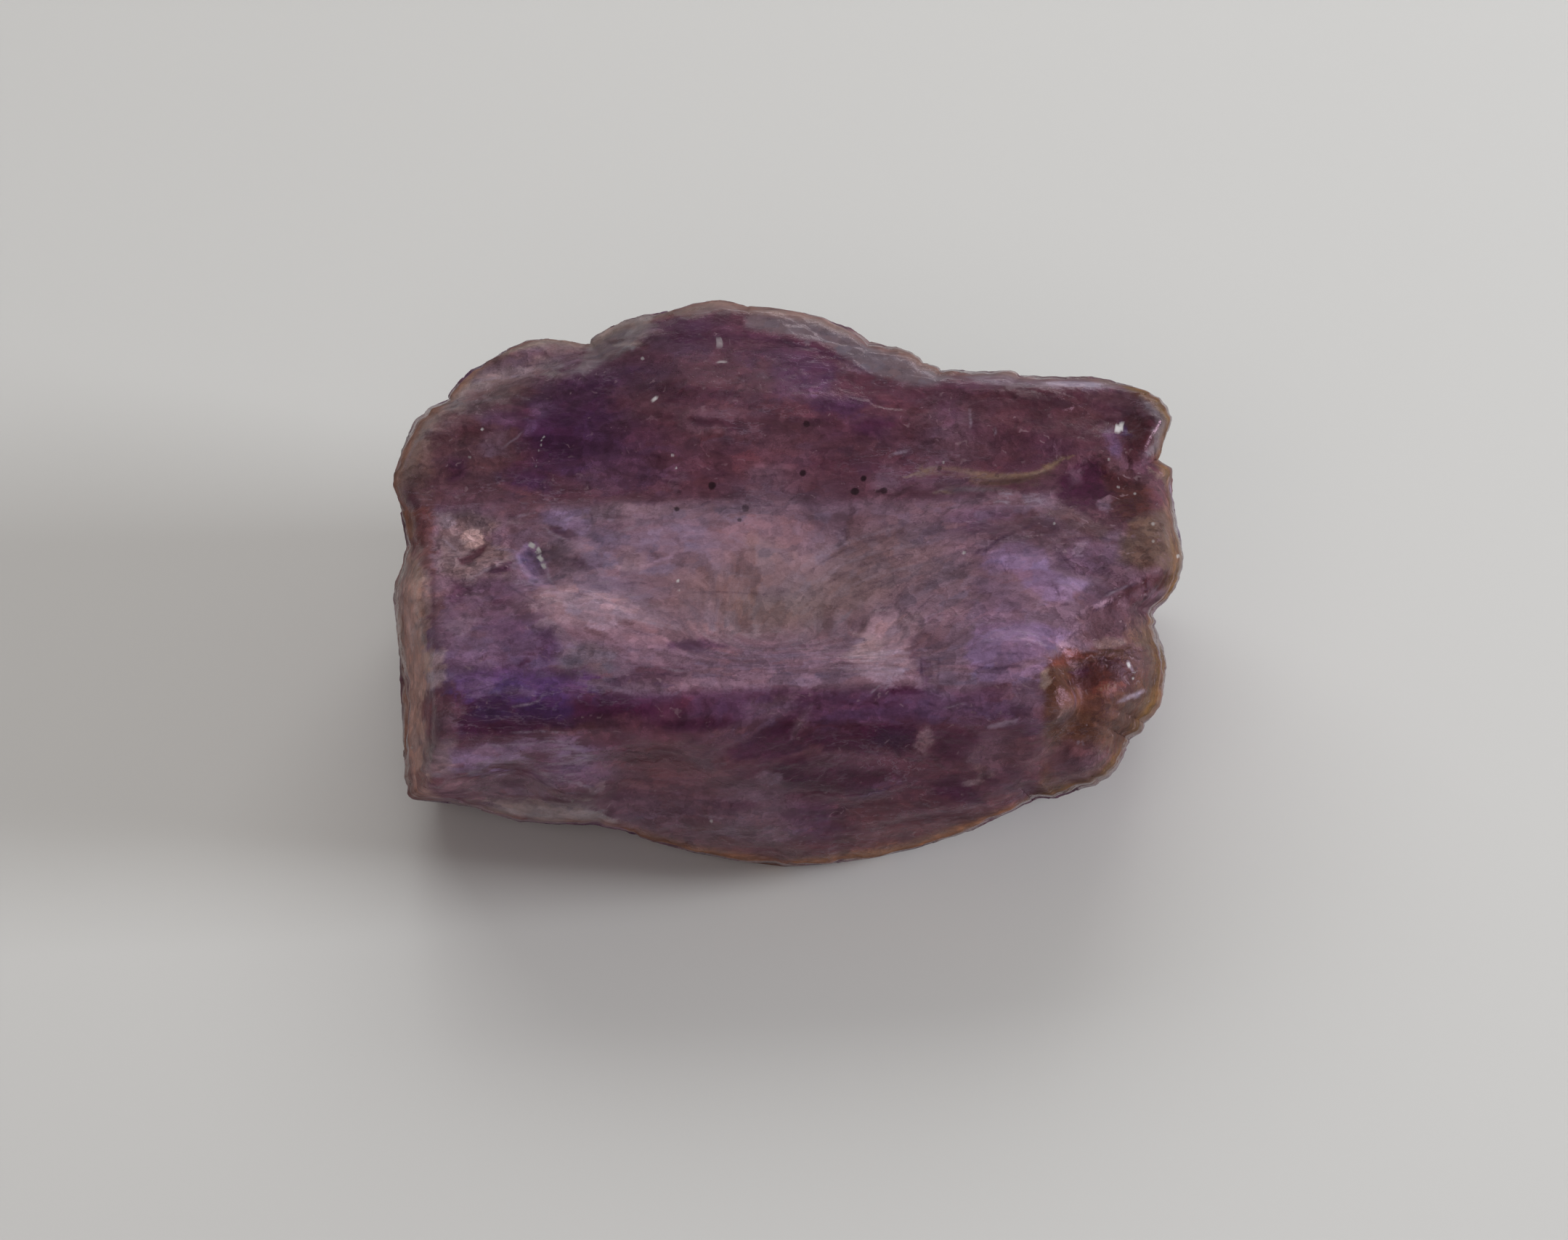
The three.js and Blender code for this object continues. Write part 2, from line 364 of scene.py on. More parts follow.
@dataclass(frozen=True)
class Thread:
    """A fine line, drawn sharper than the surface's own points are spaced. Corners and half width are pixels."""

    points: tuple[int, ...]
    width: float
    strength: float = 0.5

    def lay(self, seen: np.ndarray, threads: np.ndarray) -> None:
        """Adds the line to the rows that lie near it.

        Args:
            seen: places, as pixels.
            threads: one row a place, of its distance to the nearest line, below 0 on its left, and that line's
                half width and strength.
        """
        corners = curved(self.points)
        low = corners.min(axis=0) - THREAD_REACH
        high = corners.max(axis=0) + THREAD_REACH
        close = np.flatnonzero(((seen > low) & (seen < high)).all(axis=1))
        if not len(close):
            return
        distance, along, side = from_line(seen[close], corners)
        fade = smooth(1.0 - distance / THREAD_REACH) ** 0.25 * (distance < THREAD_REACH)
        taper = np.clip(5.0 * along * (1.0 - along), 0.0, 1.0)
        strength = self.strength * fade * taper
        nearer = distance < np.abs(threads[close, 0])
        rows = close[nearer]
        threads[rows, 0] = (distance * side)[nearer]
        threads[rows, 1] = self.width
        threads[rows, 2] = strength[nearer]


@dataclass(frozen=True)
class Speck:
    """A small grain. Its place and half width are pixels."""

    at: Spot
    width: float
    strength: float = 0.9

    def lay(self, seen: np.ndarray, threads: np.ndarray) -> None:
        """Adds the grain to the rows that lie near it.

        Args:
            seen: places, as pixels.
            threads: one row a place, as a thread lays them.
        """
        distance = np.linalg.norm(seen - np.array(self.at), axis=1)
        rows = np.flatnonzero(distance < np.minimum(THREAD_REACH, np.abs(threads[:, 0])))
        threads[rows, 0] = distance[rows]
        threads[rows, 1] = self.width
        threads[rows, 2] = self.strength * smooth(1.0 - distance[rows] / THREAD_REACH) ** 0.25


@dataclass(frozen=True)
class Patch:
    """A patch of one tint with corners. Corners and the softness of its edge are pixels."""

    corners: tuple[int, ...]
    tint: Tint
    strength: float
    edge: float = 5.0
    loose: float = 0.3

    def span(self) -> tuple[np.ndarray, np.ndarray]:
        """The corners of the box that holds it, as pixels."""
        corners = corners_of(self.corners)
        return corners.min(axis=0) - self.edge, corners.max(axis=0) + self.edge

    def cover(self, seen: np.ndarray) -> np.ndarray:
        """Finds how much of the tint each place takes.

        Args:
            seen: places, as pixels.

        Returns:
            One share a place, 0 to 1.
        """
        ring = corners_of(self.corners, closed=True)
        distance, _, _ = from_line(seen, ring)
        inside = np.zeros(len(seen), dtype=bool)
        for (x0, y0), (x1, y1) in zip(ring[:-1], ring[1:]):
            if y0 != y1:
                crosses = (seen[:, 1] > min(y0, y1)) & (seen[:, 1] <= max(y0, y1))
                inside ^= crosses & (seen[:, 0] < x0 + (seen[:, 1] - y0) * (x1 - x0) / (y1 - y0))
        depth = np.where(inside, distance, -distance)
        return self.strength * smooth(0.5 + 0.5 * depth / self.edge)


class Profile(Enum):
    """How a cut is shaped across its line."""

    GROOVE = "groove"
    LEDGE = "ledge"


@dataclass(frozen=True)
class Cut:
    """A groove, ridge or ledge in the surface. Corners and half width are pixels, the depth is millimetres.

    A negative depth raises a ridge. A ledge drops on its right side, going from its first corner on.
    """

    points: tuple[int, ...]
    width: float
    depth: float
    profile: Profile = Profile.GROOVE

    def drop(self, seen: np.ndarray) -> np.ndarray:
        """Cuts the line in.

        Args:
            seen: places, as pixels.

        Returns:
            How far each place goes in, in millimetres.
        """
        corners = curved(self.points)
        reach = 6.0 * self.width
        drop = np.zeros(len(seen))
        near = ((seen > corners.min(axis=0) - reach) & (seen < corners.max(axis=0) + reach)).all(axis=1)
        close = np.flatnonzero(near)
        distance, along, right = from_line(seen[close], corners)
        taper = np.clip(6.0 * along * (1.0 - along), 0.0, 1.0)
        if self.profile is Profile.GROOVE:
            drop[close] = self.depth * taper * np.exp(-((distance / self.width) ** 2))
            return drop
        side = smooth(0.5 + 0.5 * right * distance / self.width)
        drop[close] = self.depth * taper * side * smooth(1.0 - distance / reach)
        return drop


@dataclass(frozen=True)
class Bowl:
    """An oval hollow, or a lump where its depth is negative, in millimetres. Place and half sizes are pixels."""

    at: Spot
    size: Spot
    depth: float
    turn: float = 0.0

    def drop(self, seen: np.ndarray) -> np.ndarray:
        """How far each place goes in, in millimetres."""
        return self.depth * smooth(1.25 - from_oval(seen, self.at, self.size, self.turn))


@dataclass(frozen=True)
class Outline:
    """The stone's outline in the photograph, as distances from a middle. Corners are pixels.

    A pull leaves the places up to the still share of the way out alone, and grows over the eased share beyond it.
    """

    corners: tuple[int, ...]
    middle: Spot = (1080.0, 800.0)
    sectors: int = 480
    grown: float = 2.0
    still: float = 0.84
    eased: float = 0.15

    def polar(self, seen: np.ndarray) -> tuple[np.ndarray, np.ndarray]:
        """Turns places into angles and distances from the middle.

        Args:
            seen: places, as pixels.

        Returns:
            Each place's angle, in sectors, and its distance, in pixels.
        """
        offset = seen - np.array(self.middle)
        angle = np.arctan2(offset[:, 1], offset[:, 0]) / (2.0 * math.pi) % 1.0
        return angle * self.sectors, np.hypot(offset[:, 0], offset[:, 1])

    def drawn(self) -> np.ndarray:
        """Reads the outline as it is drawn.

        Returns:
            Its distance from the middle in each sector.
        """
        ring = corners_of(self.corners, closed=True)
        steps = np.linspace(0.0, 1.0, 20, endpoint=False)[:, None]
        line = np.vstack([start + (end - start) * steps for start, end in zip(ring[:-1], ring[1:])])
        sector, distance = self.polar(line)
        order = np.argsort(sector)
        middles = np.arange(self.sectors) + 0.5
        return np.interp(middles, sector[order], distance[order], period=self.sectors) + self.grown

    def of_places(self, seen: np.ndarray) -> np.ndarray:
        """Finds the outline of places, evened out with the sectors beside each.

        Args:
            seen: places, as pixels.

        Returns:
            The farthest distance in each sector.
        """
        sector, distance = self.polar(seen)
        farthest = np.zeros(self.sectors)
        np.maximum.at(farthest, sector.astype(int) % self.sectors, distance)
        return 0.5 * farthest + 0.25 * (np.roll(farthest, 1) + np.roll(farthest, -1))

    def at(self, sector: np.ndarray, distances: np.ndarray) -> np.ndarray:
        """Reads distances kept by sector at angles between them."""
        return np.interp(sector, np.arange(self.sectors) + 0.5, distances, period=self.sectors)

    def pull(self, seen: np.ndarray) -> np.ndarray:
        """Pulls places for the outline of them all to be the one drawn.

        Args:
            seen: places, as pixels.

        Returns:
            How far each place moves across and down, one a row.
        """
        sector, distance = self.polar(seen)
        own = self.of_places(seen)
        share = smooth((distance / self.at(sector, own) - self.still) / self.eased)
        move = self.at(sector, self.drawn() - own) * share
        angle = sector / self.sectors * 2.0 * math.pi
        return np.column_stack([move * np.cos(angle), move * np.sin(angle)])

    def inside(self, seen: np.ndarray) -> np.ndarray:
        """How far inside the outline each place shows, in pixels."""
        sector, distance = self.polar(seen)
        return self.at(sector, self.of_places(seen)) - distance


@dataclass(frozen=True)
class Dome:
    """Where the streaks arch over a middle. Place and half sizes are pixels."""

    at: Spot
    size: Spot

    def lift(self, seen: np.ndarray) -> np.ndarray:
        """Bends the streaks.

        Args:
            seen: places, as pixels.

        Returns:
            How far each place's streak is raised, in pixels.
        """
        offset = (seen - np.array(self.at)) * np.array([1.0, -1.0])
        reach = np.hypot(offset[:, 0] / self.size[0], offset[:, 1] / self.size[1])
        inside = smooth((1.5 - reach) / 0.5) * smooth(0.5 + 3.0 * offset[:, 1] / self.size[1])
        return inside * (reach * self.size[1] - offset[:, 1])


@dataclass(frozen=True)
class Slant:
    """Where the streaks rise to the right. Place and half sizes are pixels."""

    at: Spot
    size: Spot
    slope: float

    def lift(self, seen: np.ndarray) -> np.ndarray:
        """Bends the streaks.

        Args:
            seen: places, as pixels.

        Returns:
            How far each place's streak is raised, in pixels.
        """
        offset = seen - np.array(self.at)
        reach = np.hypot(offset[:, 0] / self.size[0], offset[:, 1] / self.size[1])
        return -self.slope * offset[:, 0] * smooth(1.4 - reach)


def chips_of(points: np.ndarray, scale: Scale, shift: float) -> tuple[np.ndarray, np.ndarray]:
    """Breaks space into flat chips, each tilted its own way.

    Args:
        points: places, one a row.
        scale: how many chips there are to a unit along X, Y and Z.
        shift: moves the field, so that two layers differ.

    Returns:
        The height over the chips' middles, and three values of each place's own chip, all about -1 to 1.
    """
    heights = np.zeros(len(points))
    own = np.zeros((len(points), 3))
    for i, row in enumerate(points * np.array(scale) + shift):
        place = Vector(row)
        middle = noise.voronoi(place)[1][0]
        tilt = noise.noise_vector(middle * 3.7)
        heights[i] = (place - middle).dot(tilt) * 2.0
        own[i] = tilt
    return np.clip(heights, -1.0, 1.0), own * 1.6


# Where the stone's outline shows, clockwise from the left end
OUTLINE = Outline((
    544, 654, 549, 640, 555, 620, 563, 600, 572, 580, 593, 561, 615, 550, 620, 543, 632, 527, 650, 510, 678, 495,
    702, 480, 725, 470, 752, 466, 775, 468, 809, 474, 822, 463, 843, 451, 863, 442, 887, 435, 922, 430, 937, 426,
    955, 420, 978, 416, 993, 415, 1008, 417, 1028, 423, 1060, 425, 1104, 432, 1133, 439, 1151, 447, 1172, 454,
    1190, 466, 1196, 471, 1220, 478, 1236, 480, 1254, 487, 1265, 494, 1271, 500, 1286, 505, 1298, 511, 1313, 510,
    1345, 512, 1379, 510, 1391, 511, 1409, 518, 1440, 518, 1503, 518, 1533, 524, 1563, 532, 1581, 539, 1596, 549,
    1605, 560, 1611, 575, 1611, 587, 1607, 599, 1602, 612, 1597, 632, 1603, 638, 1611, 645, 1613, 654, 1613, 681,
    1616, 702, 1620, 724, 1625, 745, 1628, 766, 1627, 781, 1623, 796, 1617, 811, 1608, 825, 1596, 837, 1591, 843,
    1589, 850, 1591, 865, 1596, 877, 1602, 895, 1605, 914, 1602, 940, 1599, 961, 1595, 973, 1587, 985, 1578, 994,
    1569, 1009, 1557, 1018, 1551, 1027, 1545, 1042, 1537, 1057, 1527, 1069, 1508, 1081, 1490, 1087, 1454, 1099,
    1427, 1101, 1412, 1107, 1394, 1116, 1370, 1127, 1339, 1142, 1315, 1150, 1257, 1168, 1198, 1181, 1139, 1188,
    1080, 1192, 1016, 1184, 957, 1173, 900, 1158, 859, 1143, 820, 1136, 760, 1135, 715, 1132, 680, 1122, 653, 1113,
    620, 1108, 583, 1105, 565, 1098, 558, 1071, 555, 998, 553, 953, 552, 909, 547, 860, 543, 822, 546, 800, 555, 778,
    561, 752, 556, 725, 552, 699, 547, 684, 543, 670,
))

# The upper zone, from the left knob to the right one
UPPER_ZONE = (
    Dab((1400, 600), (180, 60), Tint.SMOKY_BROWN, 0.3),
    Dab((620, 620), (80, 90), Tint.SMOKY_BROWN, 0.9),
    Stroke((552, 690, 560, 640, 572, 600, 600, 574, 640, 556), 15, Tint.TAN, 0.85),
    # The pale satin marks here are painted sheen, where the upper left rims catch the light
    Stroke((612, 562, 636, 540, 664, 525, 700, 508), 11, Tint.PALE_SHEEN, 0.75),
    Patch((640, 512, 700, 484, 750, 468, 806, 474, 806, 500, 760, 508, 700, 516, 650, 530), Tint.GREY_MAUVE, 0.85, 6),
    Patch((738, 472, 770, 470, 806, 478, 800, 488, 760, 490), Tint.BEIGE, 0.8, 6),
    Dab((720, 498), (40, 7), Tint.BROWN_PLUM, turn=4),
    Patch((746, 514, 762, 510, 786, 512, 808, 500, 812, 508, 790, 520, 770, 525, 752, 521), Tint.PALE_SHEEN, 0.75, 4),
    Dab((705, 540), (50, 16), Tint.SMOKY_BROWN, 0.7),
    Stroke((574, 606, 622, 556, 684, 520, 770, 498), 18, Tint.PALE_SHEEN, 0.4),
    Dab((686, 545), (14, 6), Tint.BEIGE),
    Dab((655, 600), (50, 44), Tint.SMOKY_BROWN, 0.9),
    Dab((648, 592), (22, 12), Tint.DARK_RED, 0.85),
    Patch((622, 626, 642, 630, 648, 652, 628, 662, 612, 646), Tint.DARK_PLUM, 0.8, 8),
    Dab((628, 690), (60, 22), Tint.BROWN_PLUM, 0.8),
    Dab((674, 612), (17, 17), Tint.GREY_MAUVE, 0.7),
    Dab((690, 575), (26, 14), Tint.VIOLET_PLUM, 0.7),
    Dab((690, 650), (16, 40), Tint.SMOKY_BROWN),
    Dab((790, 590), (70, 70), Tint.DEEP_VIOLET, 0.95, edge=0.4),
    Dab((770, 545), (44, 20), Tint.SMOKY_VIOLET, 0.5),
    Dab((742, 566), (14, 12), Tint.GREY_VIOLET, 0.55),
    Patch((716, 596, 728, 586, 742, 580, 744, 590, 728, 602), Tint.GREY_VIOLET, 0.4, 6),
    Patch((694, 652, 722, 646, 748, 652, 768, 676, 730, 688, 700, 684), Tint.BLUE_PLUM, 0.7, 14),
    Dab((815, 660), (50, 24), Tint.BROWN_PLUM, 0.7),
    Dab((770, 640), (40, 8), Tint.VIOLET_PLUM),
    Stroke((700, 690, 780, 693, 860, 688), 6, Tint.BROWN_PLUM),
    Dab((870, 655), (60, 34), Tint.GREY_VIOLET, 0.5),
    Dab((960, 690), (120, 26), Tint.BROWN_PLUM, 0.7),
    Dab((970, 706), (120, 14), Tint.MAUVE),
    Dab((1070, 672), (60, 30), Tint.GREY_MAUVE, 0.7),
    Dab((1170, 668), (80, 20), Tint.BROWN_PLUM),
    Dab((925, 452), (60, 16), Tint.VIOLET_PLUM, 0.75),
    Patch((885, 462, 930, 456, 985, 470, 975, 492, 930, 496, 890, 486), Tint.SMOKY_VIOLET, 0.7, 10),
    Stroke((900, 462, 960, 466, 1030, 464, 1100, 476, 1160, 500), 10, Tint.DARK_PLUM),
    Dab((860, 518), (70, 22), Tint.BLUE_PLUM),
    Patch((902, 533, 924, 527, 938, 536, 940, 552, 914, 552), Tint.DEEP_PLUM, 1),
    Patch((936, 534, 1000, 532, 1012, 540, 990, 552, 940, 552), Tint.DEEP_PLUM, 0.85, 7),
    Dab((1046, 514), (12, 5), Tint.GREY_MAUVE, 0.7),
    Dab((1040, 490), (30, 10), Tint.VIOLET_PLUM, 0.7),
    Patch((922, 566, 1000, 560, 1060, 566, 1020, 576, 1040, 600, 960, 604, 936, 586), Tint.MAUVE, 0.45, 8),
    Stroke((950, 576, 990, 583, 1026, 590), 7, Tint.DEEP_PLUM, 0.85),
    Dab((1000, 640), (130, 30), Tint.RED_BROWN, 0.4),
    Dab((1080, 605), (50, 30), Tint.BROWN_PLUM, 0.7),
    Dab((860, 615), (50, 40), Tint.VIOLET_PLUM, 0.7),
    Patch((1036, 648, 1080, 640, 1092, 690, 1040, 690), Tint.GREY_MAUVE, 0.6, 12),
    Dab((934, 660), (9, 14), Tint.GREY_MAUVE, 0.55),
    Patch((1066, 478, 1110, 486, 1150, 506, 1150, 540, 1110, 548, 1062, 540), Tint.VIOLET_PLUM, 0.8, 10),
    Dab((1168, 508), (12, 7), Tint.GREY_MAUVE),
    Patch((1106, 552, 1150, 544, 1200, 556, 1176, 572, 1120, 566), Tint.BLUE_PLUM, 0.65, 7),
    Dab((1134, 544), (18, 4), Tint.GREY_VIOLET, turn=10),
    Dab((1196, 586), (24, 12), Tint.DARK_PLUM, 0.7),
    Dab((1180, 620), (90, 16), Tint.BROWN_PLUM, 0.5),
    Patch((1238, 604, 1254, 574, 1266, 552, 1286, 556, 1272, 588, 1256, 610), Tint.DARK_RED, 0.85, 7),
    Patch((1290, 556, 1312, 552, 1324, 570, 1312, 588, 1294, 580), Tint.BRIGHT_PLUM, 0.75, 6),
    Dab((1352, 552), (24, 16), Tint.DARK_RED, 0.7),
    Dab((1347, 584), (9, 16), Tint.DEEP_PLUM),
    Dab((1226, 660), (20, 18), Tint.GREY_MAUVE),
    Patch((1262, 650, 1280, 642, 1292, 640, 1290, 652, 1268, 656), Tint.OCHRE, 0.5, 3),
    Dab((1430, 556), (70, 20), Tint.DEEP_PLUM, 0.5),
    Dab((1400, 590), (40, 22), Tint.PLUM, 0.7),
    Dab((1436, 612), (34, 16), Tint.BRIGHT_PLUM, 0.55),
    Dab((1480, 575), (30, 20), Tint.SMOKY_BROWN),
    Patch((1490, 536, 1560, 538, 1592, 552, 1580, 566, 1540, 556, 1500, 554), Tint.SMOKY_BROWN, 0.7, 6),
    # Painted sheen on the right knob's rim
    Patch((1574, 546, 1600, 556, 1610, 582, 1600, 614, 1594, 634, 1582, 620, 1590, 590), Tint.SATIN_SHEEN, 0.8),
    Patch((1546, 584, 1562, 566, 1582, 578, 1588, 604, 1576, 632, 1556, 634, 1540, 612), Tint.LOBE_RED, 0.6),
    Patch((1514, 592, 1530, 588, 1542, 612, 1544, 630, 1524, 616), Tint.GREY_VIOLET, 0.7),
    Dab((1545, 590), (5, 11), Tint.BLUE_VIOLET, 0.9),
    Stroke((1336, 662, 1380, 664, 1420, 656, 1448, 642, 1472, 630), 7, Tint.OLIVE),
    Stroke((1246, 656, 1280, 646, 1318, 649, 1360, 656, 1412, 654, 1446, 642, 1482, 626), 3.5, Tint.OCHRE, 0.7, 0.2),
    Stroke((1284, 676, 1330, 672, 1376, 675, 1420, 683), 4, Tint.SATIN_SHEEN, 0.6, 0.2),
    Patch((1450, 682, 1460, 656, 1480, 640, 1508, 634, 1522, 660, 1532, 690, 1526, 704, 1494, 706, 1468, 696),
        Tint.DEEP_PLUM, 0.9),
    Patch((1468, 652, 1490, 644, 1488, 666, 1474, 670), Tint.GREY_MAUVE, 0.75, 4),
    Patch((1511, 690, 1526, 686, 1534, 700, 1522, 706), Tint.LIGHT_MAUVE, 0.8, 3),
    Patch((1508, 636, 1540, 640, 1576, 668, 1590, 704, 1548, 712, 1530, 680), Tint.LOBE_RED, 0.85, 7),
    Dab((1560, 690), (26, 16), Tint.RUST, 0.45),
    Dab((1496, 988), (20, 24), Tint.RUST_AND_EDGE_GLOW, 0.5),
    Dab((1562, 706), (30, 16), Tint.LOBE_RED, 0.7),
    Dab((1484, 672), (24, 22), Tint.DEEP_PLUM, 0.7),
    Stroke((1508, 616, 1536, 640, 1566, 652, 1592, 676, 1604, 700), 9, Tint.SMOKY_BROWN),
    Dab((1604, 655), (7, 12), Tint.TAN, 0.7),
    Dab((1306, 620), (46, 56), Tint.GREY_MAUVE, 0.4),
    Dab((1430, 570), (76, 44), Tint.DARK_RED, 0.8),
    Dab((580, 640), (16, 50), Tint.TAN, 0.35),
    # Painted pale sheen on the upper rim
    Dab((866, 462), (32, 12), Tint.PALE_SHEEN),
    Dab((990, 560), (110, 60), Tint.SMOKY_BROWN, 0.35),
)

